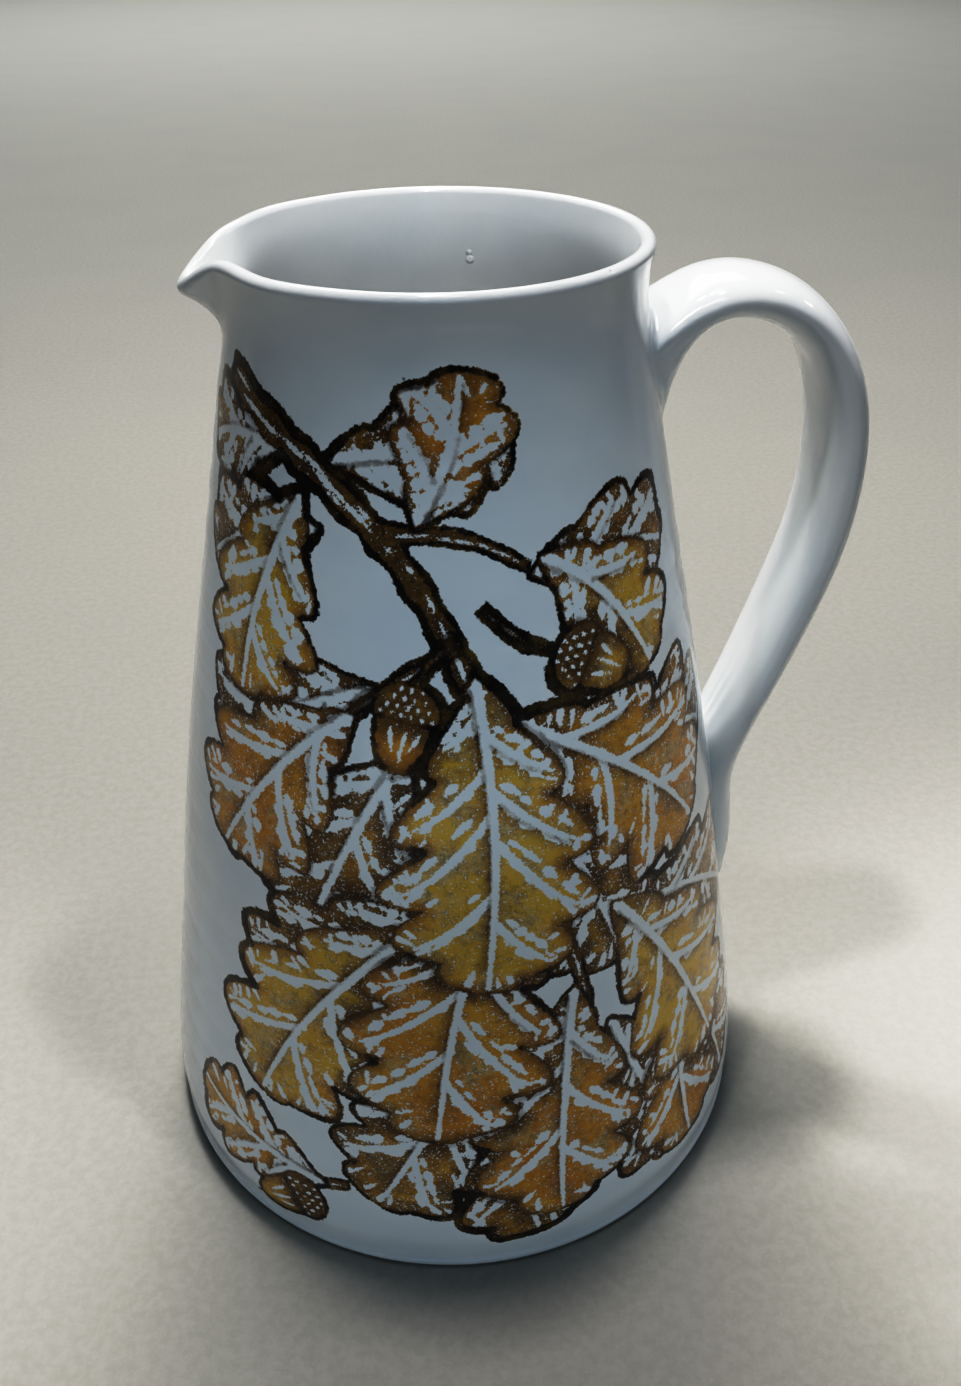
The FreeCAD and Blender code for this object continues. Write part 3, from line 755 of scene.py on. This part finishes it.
def crossing(f, vs, level, first=True):
    """parameter at which each column of f(v) passes the level, rising (first) or falling (last)"""
    out = np.zeros(f.shape[1])
    for j in range(f.shape[1]):
        g = f[:, j] - level
        if first:
            k = np.nonzero((g[:-1] < 0) & (g[1:] >= 0))[0]
            k = k[0] if len(k) else 0
        else:
            k = np.nonzero((g[:-1] >= 0) & (g[1:] < 0))[0]
            k = k[-1] if len(k) else len(g) - 2
        t = g[k] / (g[k] - g[k + 1]) if g[k] != g[k + 1] else 0.0
        out[j] = vs[k] + np.clip(t, 0, 1) * (vs[k + 1] - vs[k])
    return out


def build_handle(material):
    nphi = 128
    phis = np.linspace(0, 2 * math.pi, nphi, endpoint=False)
    phis = phis - 0.2 * np.sin(4 * phis)          # closer together where the section turns
    vs = np.linspace(0, V_PAR[-1], 1400)
    f = clearance(strap_points(phis, vs))
    half = vs < V_PAR[-1] * 0.4
    v_in = crossing(f[half], vs[half], -1.3, True)
    spl = Spline(V_PAR, strap_surface(phis))
    v_mid = V_PAR[16] + 6.0
    rows = []
    for t in np.linspace(0, 1, 60, endpoint=False):
        v = v_in + (v_mid - v_in) * t
        rows.append(spl.each(v))
    for v in np.concatenate([np.arange(v_mid, V_PAR[-7], 1.0), np.linspace(V_PAR[-7], V_PAR[-1], 26)]):
        q = spl(v)
        rows.append(q)
    rows = np.stack(rows)
    # soft facets and finger marks along the pull
    s = np.arange(len(rows))[:, None]
    wob = 0.10 * np.sin(s * 0.075 + 1.0) * np.cos(2 * phis)[None, :] + 0.07 * np.sin(s * 0.041 + 2 * np.cos(phis)[None, :])
    cen = rows.mean(1, keepdims=True)
    out = unit(rows - cen)
    fade = smooth((s - 60) / 30.0) * smooth((len(rows) - 30 - s) / 30.0)
    rows = rows - out * ((0.17 + wob) * fade)[..., None].clip(0)
    # wiped streaks that fan out over the inside face where the tail was pressed on
    clear = np.hypot(rows[..., 0], rows[..., 1]) - outer_r(rows[..., 2])
    fan = rows[..., 1] / (7.0 + 0.16 * np.clip(clear, 0, 60))
    streak = 0.5 + 0.5 * np.sin(11.0 * fan + 0.05 * clear + 1.2 * np.sin(2.3 * fan))
    tail = smooth((140.0 - rows[..., 2]) / 20.0) * np.clip(-np.cos(phis)[None, :] * 1.6, 0, 1) * smooth(clear / 3.0) * smooth((46.0 - clear) / 34.0)
    rows = rows - out * (0.28 * streak * tail)[..., None]
    # where the tail lies on the wall its underside follows the wall
    r = np.hypot(rows[..., 0], rows[..., 1])
    need = outer_r(rows[..., 2]) - 1.3
    low = (r < need) & (rows[..., 2] < 130)
    k = np.where(low, need / np.maximum(r, 1e-6), 1.0)
    rows[..., 0] *= k
    rows[..., 1] *= k
    R = len(rows)
    verts = rows.reshape(-1, 3)
    quads = grid_faces(R, nphi)[:, ::-1]
    c0, c1 = rows[0].mean(0), rows[-1].mean(0)
    c0 = np.array([float(outer_r(c0[2])) - 1.3, 0, c0[2]])
    c1 = np.array([float(outer_r(c1[2])) - 1.3, 0, c1[2]])
    a, b = len(verts), len(verts) + 1
    verts = np.concatenate([verts, [c0, c1]])
    c = np.arange(nphi)
    d = (c + 1) % nphi
    tris = np.concatenate([np.stack([np.full(nphi, a), c, d], -1),
                           np.stack([np.full(nphi, b), (R - 1) * nphi + d, (R - 1) * nphi + c], -1)])
    return make_mesh("pulled_handle", verts, quads, tris, None, material)


def build_bead(name, first, reach_wall, reach_strap, material):
    """bed of slip: concave bead that fills the corner between strap and wall all the way round"""
    n0 = 1600
    phis = np.linspace(0, 2 * math.pi, n0, endpoint=False)
    lo, hi = (0.0, V_PAR[-1] * 0.45) if first else (V_PAR[-1] * 0.45, V_PAR[-1])
    vs = np.linspace(lo, hi, 700)
    spl = Spline(V_PAR, strap_surface(phis))
    f = clearance(spl(vs))
    v = crossing(f, vs, 0.0, first)
    P = spl.each(v)
    C = Spline(V_PAR, strap_surface(BASE_PHI).mean(1))(v)
    e = 0.4 * (1 if first else -1)
    Q = spl.each(v + e)                           # a little further out along the strap
    # where the bead ends on the strap: this far along its own surface
    ks = np.linspace(0.0, 4.5 * reach_strap, 28) * (1 if first else -1)
    col = np.stack([spl.each(v + k) for k in ks])
    dist = np.linalg.norm(col - P[None], axis=-1)
    up_to = np.maximum.accumulate(dist, 0)
    E = np.stack([[np.interp(reach_strap, up_to[:, j], col[:, j, i]) for i in range(3)] for j in range(n0)])
    E2 = np.stack([[np.interp(reach_strap * 0.55, up_to[:, j], col[:, j, i]) for i in range(3)] for j in range(n0)])
    # even spacing round the contour
    seg = np.linalg.norm(np.roll(P, -1, 0) - P, axis=1)
    d = np.concatenate([[0.0], np.cumsum(seg)])
    m = int(d[-1] / 0.7)
    t = np.linspace(0, d[-1], m, endpoint=False)

    def even(a):
        a = np.concatenate([a, a[:1]])
        return np.stack([np.interp(t, d, a[:, i]) for i in range(3)], -1)

    P, Q, E, E2, C = even(P), even(Q), even(E), even(E2), even(C)

    def soften(a, n=3):
        for _ in range(n):
            a = (np.roll(a, 1, 0) + 2 * a + np.roll(a, -1, 0)) / 4
        return a

    P, Q, E, E2 = soften(P, 2), soften(Q, 2), soften(E, 4), soften(E2, 4)
    T = unit(soften(np.roll(P, -1, 0) - np.roll(P, 1, 0), 2))
    rr = np.hypot(P[:, 0], P[:, 1])
    slope = (outer_r(P[:, 2] + 0.5) - outer_r(P[:, 2] - 0.5))
    nw = unit(np.stack([P[:, 0] / rr, P[:, 1] / rr, -slope], -1))
    sdir = Q - P
    sdir = sdir - T * np.sum(sdir * T, -1, keepdims=True)
    aS = unit(soften(unit(sdir), 6))
    aW = unit(np.cross(T, nw))
    cen = P.mean(0)
    if np.mean(np.sum(aW * (P - cen), -1)) < 0:
        aW = -aW
    rng = np.random.default_rng(5 if first else 6)
    lump = np.zeros(m)
    for k in range(2, 14):
        lump += rng.normal() * np.cos(2 * math.pi * k * np.arange(m) / m + rng.uniform(0, 6.28)) / k
    lump = 1 + 0.16 * lump / max(lump.std(), 1e-6) * 0.6
    rw, rs = reach_wall * lump, reach_strap * lump
    W = P + aW * rw[:, None]
    r2 = np.hypot(W[:, 0], W[:, 1])
    W[:, :2] *= ((outer_r(W[:, 2]) - 0.06) / r2)[:, None]
    ns = unit(np.cross(T, aS))
    ns = np.where((np.sum(ns * (P - C), -1) < 0)[:, None], -ns, ns)
    S = E - ns * 0.10
    mid = P + aW * (0.12 * reach_wall) + (E2 - P) * 0.25
    rows = []
    for u in np.linspace(0, 1, 11):
        rows.append(W * (1 - u) ** 2 + mid * 2 * u * (1 - u) + S * u ** 2)
    inner = P - nw * 1.0 - ns * 0.6
    rows.append(inner * 0.5 + S * 0.5 - ns * 0.5)
    rows.append(inner)
    rows.append(inner * 0.5 + W * 0.5 - nw * 0.5)
    rows = np.stack(rows, 1)                    # contour x section
    M, K = rows.shape[:2]
    verts = rows.reshape(-1, 3)
    r = np.arange(M)[:, None]
    c = np.arange(K)[None, :]
    q = np.stack([r * K + c, r * K + (c + 1) % K, ((r + 1) % M) * K + (c + 1) % K, ((r + 1) % M) * K + c], -1).reshape(-1, 4)
    # outward facing
    a, b, cc = verts[q[0, 0]], verts[q[0, 1]], verts[q[0, 3]]
    if np.dot(np.cross(b - a, cc - a), nw[0] + aW[0]) < 0:
        q = q[:, ::-1]
    return make_mesh(name, verts, q, None, None, material)


# ------------------------------------------------------------------ materials
class Nodes:
    """short hand for building a node tree"""

    def __init__(self, name):
        self.mat = bpy.data.materials.new(name)
        self.mat.use_nodes = True
        self.t = self.mat.node_tree
        self.t.nodes.clear()
        self.out = self.t.nodes.new("ShaderNodeOutputMaterial")

    def add(self, kind, **kw):
        n = self.t.nodes.new(kind)
        for k, v in kw.items():
            setattr(n, k, v)
        return n

    def put(self, sock, v):
        if isinstance(v, bpy.types.NodeSocket):
            self.t.links.new(v, sock)
        else:
            sock.default_value = v

    def math(self, op, a, b=0.0, c=None, clamp=False):
        n = self.add("ShaderNodeMath", operation=op, use_clamp=clamp)
        self.put(n.inputs[0], a)
        if len(n.inputs) > 1:
            self.put(n.inputs[1], b)
        if c is not None:
            self.put(n.inputs[2], c)
        return n.outputs[0]

    def ramp01(self, v, lo, hi, smoothed=True):
        n = self.add("ShaderNodeMapRange", clamp=True, interpolation_type="SMOOTHSTEP" if smoothed else "LINEAR")
        self.put(n.inputs["Value"], v)
        n.inputs["From Min"].default_value = lo
        n.inputs["From Max"].default_value = hi
        return n.outputs["Result"]

    def to(self, v, lo, hi, a, b):
        n = self.add("ShaderNodeMapRange", clamp=True)
        self.put(n.inputs["Value"], v)
        n.inputs["From Min"].default_value = lo
        n.inputs["From Max"].default_value = hi
        n.inputs["To Min"].default_value = a
        n.inputs["To Max"].default_value = b
        return n.outputs["Result"]

    def noise(self, vec, scale, detail=3.0, rough=0.5, distort=0.0):
        n = self.add("ShaderNodeTexNoise", noise_dimensions="3D")
        self.put(n.inputs["Vector"], vec)
        n.inputs["Scale"].default_value = scale
        n.inputs["Detail"].default_value = detail
        n.inputs["Roughness"].default_value = rough
        n.inputs["Distortion"].default_value = distort
        return n.outputs["Fac"]

    def mix(self, f, a, b, kind="MIX"):
        n = self.add("ShaderNodeMix", data_type="RGBA", blend_type=kind)
        self.put(n.inputs["Factor"], f)
        self.put(n.inputs[6], a)
        self.put(n.inputs[7], b)
        return n.outputs[2]

    def attr(self, name):
        return self.add("ShaderNodeAttribute", attribute_name=name, attribute_type="GEOMETRY")


def rgb(r, g, b):
    """display value 0..255 to a linear colour"""
    return tuple(((c / 255.0 + 0.055) / 1.055) ** 2.4 if c > 10 else c / 255.0 / 12.92 for c in (r, g, b)) + (1.0,)


def glaze_material(name, painted=False):
    N = Nodes(name)
    co = N.add("ShaderNodeTexCoord").outputs["Object"]
    soft = N.noise(co, 38.0, 2.0, 0.5)
    mid = N.noise(co, 210.0, 3.0, 0.55)
    peel = N.noise(co, 620.0, 2.0, 0.5)
    # white glaze: slow drift between a cooler and a warmer white, a little thinner here and there
    white = N.mix(N.ramp01(soft, 0.30, 0.72), (0.820, 0.835, 0.840, 1), (0.870, 0.872, 0.862, 1))
    white = N.mix(N.math("MULTIPLY", N.ramp01(mid, 0.52, 0.80), 0.10), white, (0.76, 0.78, 0.78, 1))
    # rare iron specks
    vor = N.add("ShaderNodeTexVoronoi", feature="F1")
    N.put(vor.inputs["Vector"], co)
    vor.inputs["Scale"].default_value = 95.0
    pick = N.math("GREATER_THAN", sep_r(N, vor.outputs["Color"]), 0.93)
    speck = N.math("MULTIPLY", N.ramp01(vor.outputs["Distance"], 0.045, 0.020), pick)
    white = N.mix(N.math("MULTIPLY", speck, 0.75), white, (0.10, 0.075, 0.06, 1))
    colour = white
    blister_and_glint = None
    if painted:      # two burst bubbles in the glaze inside, high on the far wall: raised in relief by bump, and coloured whiter as a painted highlight for their glint
        for c, r in (((0.0125, 0.0419, 0.2349), 0.0007), ((0.01275, 0.0420, 0.2331), 0.0010)):
            far = N.add("ShaderNodeVectorMath", operation="DISTANCE")
            N.put(far.inputs[0], co)
            far.inputs[1].default_value = c
            dot = N.ramp01(far.outputs["Value"], r * 1.25, r * 0.55)
            blister_and_glint = dot if blister_and_glint is None else N.math("MAXIMUM", blister_and_glint, dot)
        # the whiter colour on the bubbles is a painted highlight standing in for their glint
        white = N.mix(N.math("MULTIPLY", blister_and_glint, 0.9), white, (0.97, 0.97, 0.96, 1))
        colour = white
    if painted:
        cover, line, wax = (N.attr(k).outputs["Fac"] for k in ("cover", "line", "wax"))
        sep = N.add("ShaderNodeSeparateColor")
        tone = N.attr("tone")
        N.put(sep.inputs[0], tone.outputs["Color"])
        rust_f, umber_f, black_f = sep.outputs[0], sep.outputs[1], sep.outputs[2]
        fleck_f = tone.outputs["Alpha"]
        blot = N.noise(co, 120.0, 4.0, 0.6, 0.4)         # 8 mm washes
        brush = N.noise(co, 480.0, 4.0, 0.62, 0.6)       # 2 mm brush grain
        grain = N.noise(co, 1500.0, 3.0, 0.6)            # 0.7 mm pigment grain
        fine = N.noise(co, 3300.0, 2.0, 0.6)             # 0.3 mm
        b0 = N.math("SUBTRACT", blot, 0.5)
        b1 = N.math("SUBTRACT", brush, 0.5)
        b2 = N.math("SUBTRACT", grain, 0.5)
        b3 = N.math("SUBTRACT", fine, 0.5)

        def blend(f, *parts):
            for p, k in parts:
                f = N.math("MULTIPLY_ADD", p, k, f)
            return N.math("ADD", f, 0.0, clamp=True)

        base = N.mix(blend(rust_f, (b0, 1.3), (b1, 0.5)), OCHRE, RUST)
        base = N.mix(N.math("MULTIPLY", N.ramp01(blot, 0.46, 0.70), 0.80), base, PALE)
        base = N.mix(blend(umber_f, (b0, 1.2), (b1, 0.8), (b2, 0.6)), base, UMBER)
        base = N.mix(blend(black_f, (b0, 0.8), (b1, 0.8), (b2, 0.7)), base, BLACK)
        # ragged dark brush line
        ln = N.math("MULTIPLY_ADD", b1, 1.9, line)
        ln = N.math("MULTIPLY_ADD", b2, 1.1, ln)
        outer = N.ramp01(N.math("MULTIPLY_ADD", b0, 3.0, cover), 3.2, 1.0)       # 1 on the contour of the whole spray
        halo = N.ramp01(ln, -3.4, 0.4)
        base = N.mix(N.math("MULTIPLY", halo, 0.60), base, UMBER)
        thin = N.math("MULTIPLY_ADD", outer, 0.45, N.math("MULTIPLY_ADD", b0, 1.6, 0.50, clamp=True), clamp=True)
        lmask = N.math("MULTIPLY", N.ramp01(ln, -0.45, 0.35), thin)
        base = N.mix(N.math("MULTIPLY", lmask, 0.95), base, N.mix(outer, SEPIA, BLACK))
        # wax resist: the white glaze shows, with serrated edges
        wx = N.math("MULTIPLY_ADD", b1, 1.5, wax)
        wx = N.math("MULTIPLY_ADD", b2, 1.5, wx)
        wx = N.math("MULTIPLY_ADD", b3, 0.5, wx)
        wmask = N.ramp01(wx, -0.10, 0.14)
        # little flecks where the wash crawled
        fl = N.math("MULTIPLY_ADD", fleck_f, 0.10, grain)
        fl = N.math("MULTIPLY_ADD", b3, 0.22, fl)
        fmask = N.ramp01(fl, 0.655, 0.685)
        fmask = N.math("MULTIPLY", fmask, 0.85)
        gap = N.math("MAXIMUM", wmask, fmask)
        gap = N.math("MULTIPLY", gap, N.math("SUBTRACT", 1.0, N.math("MULTIPLY", lmask, 0.92)))
        base = N.mix(gap, base, white)
        cv = N.math("MULTIPLY_ADD", b1, 1.6, cover)
        cv = N.math("MULTIPLY_ADD", b2, 1.0, cv)
        cmask = N.ramp01(cv, -0.75, -0.45)
        colour = N.mix(cmask, white, base)
    xyz = N.add("ShaderNodeSeparateXYZ")
    N.put(xyz.inputs[0], co)
    rough = N.to(mid, 0.3, 0.7, 0.060, 0.105)
    if painted:
        # bare clay under the foot, up to an uneven glaze line
        edge = N.math("MULTIPLY_ADD", N.noise(co, 60.0, 2.0, 0.5), 0.0012, xyz.outputs["Z"])
        clay = N.ramp01(edge, 0.00125, 0.00105)
        cl = N.mix(N.ramp01(N.noise(co, 900.0, 4.0, 0.7), 0.35, 0.7), (0.42, 0.35, 0.27, 1), (0.60, 0.53, 0.43, 1))
        colour = N.mix(clay, colour, cl)
        rough = N.math("MULTIPLY_ADD", clay, 0.62, rough)
    bsdf = N.add("ShaderNodeBsdfPrincipled")
    N.put(bsdf.inputs["Base Color"], colour)
    N.put(bsdf.inputs["Roughness"], rough)
    bsdf.inputs["IOR"].default_value = 1.45
    hgt = N.math("MULTIPLY", soft, 3.0)
    hgt = N.math("MULTIPLY_ADD", mid, 0.55, hgt)
    hgt = N.math("MULTIPLY_ADD", peel, 0.12, hgt)
    if blister_and_glint is not None:
        hgt = N.math("MULTIPLY_ADD", blister_and_glint, 2.5, hgt)
    bump = N.add("ShaderNodeBump")
    bump.inputs["Strength"].default_value = 0.5
    bump.inputs["Distance"].default_value = 0.00022
    N.put(bump.inputs["Height"], hgt)
    N.put(bsdf.inputs["Normal"], bump.outputs[0])
    N.put(N.out.inputs["Surface"], bsdf.outputs[0])
    return N.mat


def sep_r(N, c):
    s = N.add("ShaderNodeSeparateColor")
    N.put(s.inputs[0], c)
    return s.outputs[0]


OCHRE, PALE = (0.760, 0.505, 0.110, 1), (0.79, 0.630, 0.330, 1)
RUST, UMBER, BLACK = (0.660, 0.300, 0.062, 1), (0.250, 0.145, 0.064, 1), (0.026, 0.023, 0.024, 1)
SEPIA = (0.070, 0.045, 0.030, 1)

painted = glaze_material("painted_glaze", True)
plain = glaze_material("white_glaze")
slipmat = glaze_material("slip_under_glaze")

body = build_body(painted)
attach(body, "root")
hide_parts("body")
handle = build_handle(plain)
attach(handle, "root")
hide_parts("handle")
upper = build_bead("upper_slip_bead", True, 2.6, 2.6, slipmat)
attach(upper, "root")
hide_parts("upper_slip_joint")
lower = build_bead("lower_slip_bead", False, 1.5, 1.5, slipmat)
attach(lower, "root")
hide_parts("lower_slip_joint")

# ------------------------------------------------------------------ floor, camera, light
fl = Nodes("studio_floor")
fco = fl.add("ShaderNodeTexCoord").outputs["Object"]
fcol = fl.mix(fl.ramp01(fl.noise(fco, 300.0, 5.0, 0.70), 0.34, 0.66), (0.450, 0.434, 0.396, 1), (0.492, 0.476, 0.440, 1))
fcol = fl.mix(fl.math("MULTIPLY", fl.ramp01(fl.noise(fco, 700.0, 3.0, 0.6), 0.58, 0.70), 0.45), fcol, (0.530, 0.514, 0.480, 1))
fcol = fl.mix(fl.math("MULTIPLY", fl.ramp01(fl.noise(fco, 9.0, 2.0, 0.5), 0.40, 0.70), 0.20), fcol, (0.435, 0.424, 0.395, 1))
fb = fl.add("ShaderNodeBsdfPrincipled")
fl.put(fb.inputs["Base Color"], fcol)
fb.inputs["Roughness"].default_value = 0.75
fb.inputs["Specular IOR Level"].default_value = 0.12
fl.put(fl.out.inputs["Surface"], fb.outputs[0])
fm = bpy.data.meshes.new("studio_floor")
fm.from_pydata([(-1.1, -0.9, 0), (1.1, -0.9, 0), (1.1, 0.6, 0), (-1.1, 0.6, 0), (4.6, 6, 0), (-3.2, 6, 0)], [],
               [(0, 1, 2, 3), (3, 2, 4, 5)])
floor = bpy.data.objects.new("studio_floor", fm)
bpy.context.scene.collection.objects.link(floor)
fm.materials.append(fl.mat)

cam_data = bpy.data.cameras.new("camera")
cam_data.sensor_width = 36.0
cam_data.lens = 1250.0 * 36.0 / 1386.0
cam_data.clip_start, cam_data.clip_end = 0.02, 40.0
cam = bpy.data.objects.new("camera", cam_data)
rt, up, fw = (0.99209, -0.12519, -0.00907), (0.0766, 0.54662, 0.83387), (0.09944, 0.82797, -0.55189)
m = Matrix.Identity(4)
for i in range(3):
    m[i][0], m[i][1], m[i][2] = rt[i], up[i], -fw[i]
m[0][3], m[1][3], m[2][3] = -0.02463, -0.28155, 0.31642
cam.matrix_world = m
bpy.context.scene.collection.objects.link(cam)
bpy.context.scene.camera = cam


def area(name, loc, target, size, power, colour, size_y=None):
    d = bpy.data.lights.new(name, "AREA")
    d.shape = "RECTANGLE"
    d.size, d.size_y = size, size_y or size
    d.energy = power
    d.color = colour
    o = bpy.data.objects.new(name, d)
    loc, target = np.array(loc, float), np.array(target, float)
    back = unit(loc - target)
    x = np.cross((0, 0, 1) if abs(back[2]) < 0.95 else (0, 1, 0), back)
    x = unit(x)
    y = np.cross(back, x)
    mm = Matrix.Identity(4)
    for i in range(3):
        mm[i][0], mm[i][1], mm[i][2], mm[i][3] = x[i], y[i], back[i], loc[i]
    o.matrix_world = mm
    bpy.context.scene.collection.objects.link(o)
    return o


def sun(name, direction, strength, angle, colour):
    """soft distant light that comes from this direction"""
    d = bpy.data.lights.new(name, "SUN")
    d.energy, d.angle, d.color = strength, math.radians(angle), colour
    o = bpy.data.objects.new(name, d)
    z = unit(np.array(direction, float))
    x = unit(np.cross((0, 1, 0), z))
    y = np.cross(z, x)
    mm = Matrix.Identity(4)
    for i in range(3):
        mm[i][0], mm[i][1], mm[i][2], mm[i][3] = x[i], y[i], z[i], z[i] * 2
    o.matrix_world = mm
    bpy.context.scene.collection.objects.link(o)
    return o


def spot(name, direction, target, power, cone, radius, colour):
    """lamp 1.5 m away in this direction, with a soft edged cone on the target"""
    d = bpy.data.lights.new(name, "SPOT")
    d.energy, d.spot_size, d.spot_blend, d.shadow_soft_size, d.color = power, math.radians(cone), 1.0, radius, colour
    o = bpy.data.objects.new(name, d)
    z = unit(np.array(direction, float))
    x = unit(np.cross((0, 1, 0), z))
    y = np.cross(z, x)
    mm = Matrix.Identity(4)
    for i in range(3):
        mm[i][0], mm[i][1], mm[i][2], mm[i][3] = x[i], y[i], z[i], target[i] + 1.5 * z[i]
    o.matrix_world = mm
    bpy.context.scene.collection.objects.link(o)
    return o


world = bpy.data.worlds.new("studio")
world.use_nodes = True
wt = world.node_tree
wt.nodes["Background"].inputs[0].default_value = (0.35, 0.65, 1.0, 1)
wt.nodes["Background"].inputs[1].default_value = 0.04
far = wt.nodes.new("ShaderNodeBackground")          # pale room seen over the edge of the floor
far.inputs[0].default_value = (0.560, 0.570, 0.560, 1)
path, both = wt.nodes.new("ShaderNodeLightPath"), wt.nodes.new("ShaderNodeMixShader")
wt.links.new(path.outputs["Is Camera Ray"], both.inputs[0])
wt.links.new(wt.nodes["Background"].outputs[0], both.inputs[1])
wt.links.new(far.outputs[0], both.inputs[2])
wt.links.new(both.outputs[0], wt.nodes["World Output"].inputs[0])
bpy.context.scene.world = world
area("key_above", (0.0, 0.25, 1.60), (0, 0, 0.0), 0.12, 16.5, (1.0, 0.98, 0.98))
area("near_top", (0.0, 0.20, 0.85), (0, 0.20, 0.0), 0.09, 0.42, (1.0, 0.95, 0.84))
area("near_behind", (0.0, 0.44, 0.52), (0, 0.44, 0.0), 0.09, 0.50, (1.0, 0.92, 0.82))
area("near_above", (0.0, -0.12, 0.70), (0, -0.12, 0.0), 0.09, 0.42, (0.84, 0.94, 1.0))
area("low_front", (0.0, -0.38, 0.03), (0, 0, 0.06), 0.60, 0.055, (0.94, 0.97, 1.0), 0.05)
area("right_high", (0.52, 0.15, 0.80), (0.52, 0.15, 0.0), 0.09, 0.30, (1.0, 0.98, 0.98))
area("left_high", (-0.48, 0.10, 0.80), (-0.48, 0.10, 0.0), 0.09, 0.30, (1.0, 0.98, 0.98))
area("right_low", (0.62, 0.15, 0.60), (0.62, 0.15, 0.0), 0.09, 0.52, (1.0, 0.94, 0.94))
area("far_floor", (0.0, 3.2, 3.2), (0, 3.6, 0.0), 2.4, 195.0, (0.96, 0.985, 1.0))
spot("from_right", (0.40, -0.10, 0.91), (-0.27, -0.04, 0.0), 52.0, 15.5, 0.05, (1.0, 0.97, 0.94))
spot("from_left", (-0.358, -0.11, 0.927), (0.265, -0.05, 0.0), 66.0, 15.5, 0.05, (1.0, 0.96, 0.93))
spot("strap", (-0.25, 0.33, 0.91), (0.136, 0.0, 0.105), 36.0, 8.6, 0.05, (1.0, 0.99, 0.95))
spot("mouth", (0.0, -0.45, 0.893), (0.0, 0.043, 0.213), 56.0, 5.2, 0.03, (1.0, 0.99, 0.97))
sun("front_high", (0.0, -0.82, 0.574), 0.09, 30.0, (0.66, 0.84, 1.0))
spot("front_mid", (0.0, -0.97, 0.24), (0.0, -0.060, 0.178), 14.2, 6.2, 0.03, (0.70, 0.86, 1.0))
sun("front_low", (0.0, -0.94, 0.342), 0.19, 35.0, (0.52, 0.76, 1.0))
for side in (-1.0, 1.0):
    spot("front_wide_%d" % (side > 0), (side * 0.69, -0.69, 0.22), (side * 0.045, -0.07, 0.178), 14.2, 6.2, 0.03, (0.70, 0.86, 1.0))
    spot("front_foot_%d" % (side > 0), (side * 0.69, -0.69, 0.22), (side * 0.045, -0.07, 0.046), 15.5, 8.0, 0.035, (0.70, 0.86, 1.0))
vs = bpy.context.scene.view_settings
vs.view_transform = "Standard"
vs.look = "None"
vs.exposure = 0.0
vs.gamma = 0.52
# tone curve: straight in the lower tones, a soft shoulder in the highlights
vs.use_curve_mapping = True
cm = vs.curve_mapping
cm.black_level, cm.white_level = (0.0, 0.0, 0.0), (4.0, 4.0, 4.0)
curve = cm.curves[3]
tone_x = [0.0, 0.05, 0.1, 0.15] + [0.15 + 0.85 * (k / 22.0) ** 1.6 for k in range(1, 23)]
while len(curve.points) < len(tone_x):
    curve.points.new(0.5, 0.5)
for point, tx in zip(curve.points, tone_x):
    t = 4.0 * tx
    point.location = (tx, t if t <= 0.6 else 0.6 + 0.4 * (1 - math.exp(-(t - 0.6) / 0.4)))
    point.handle_type = "VECTOR"
cm.update()
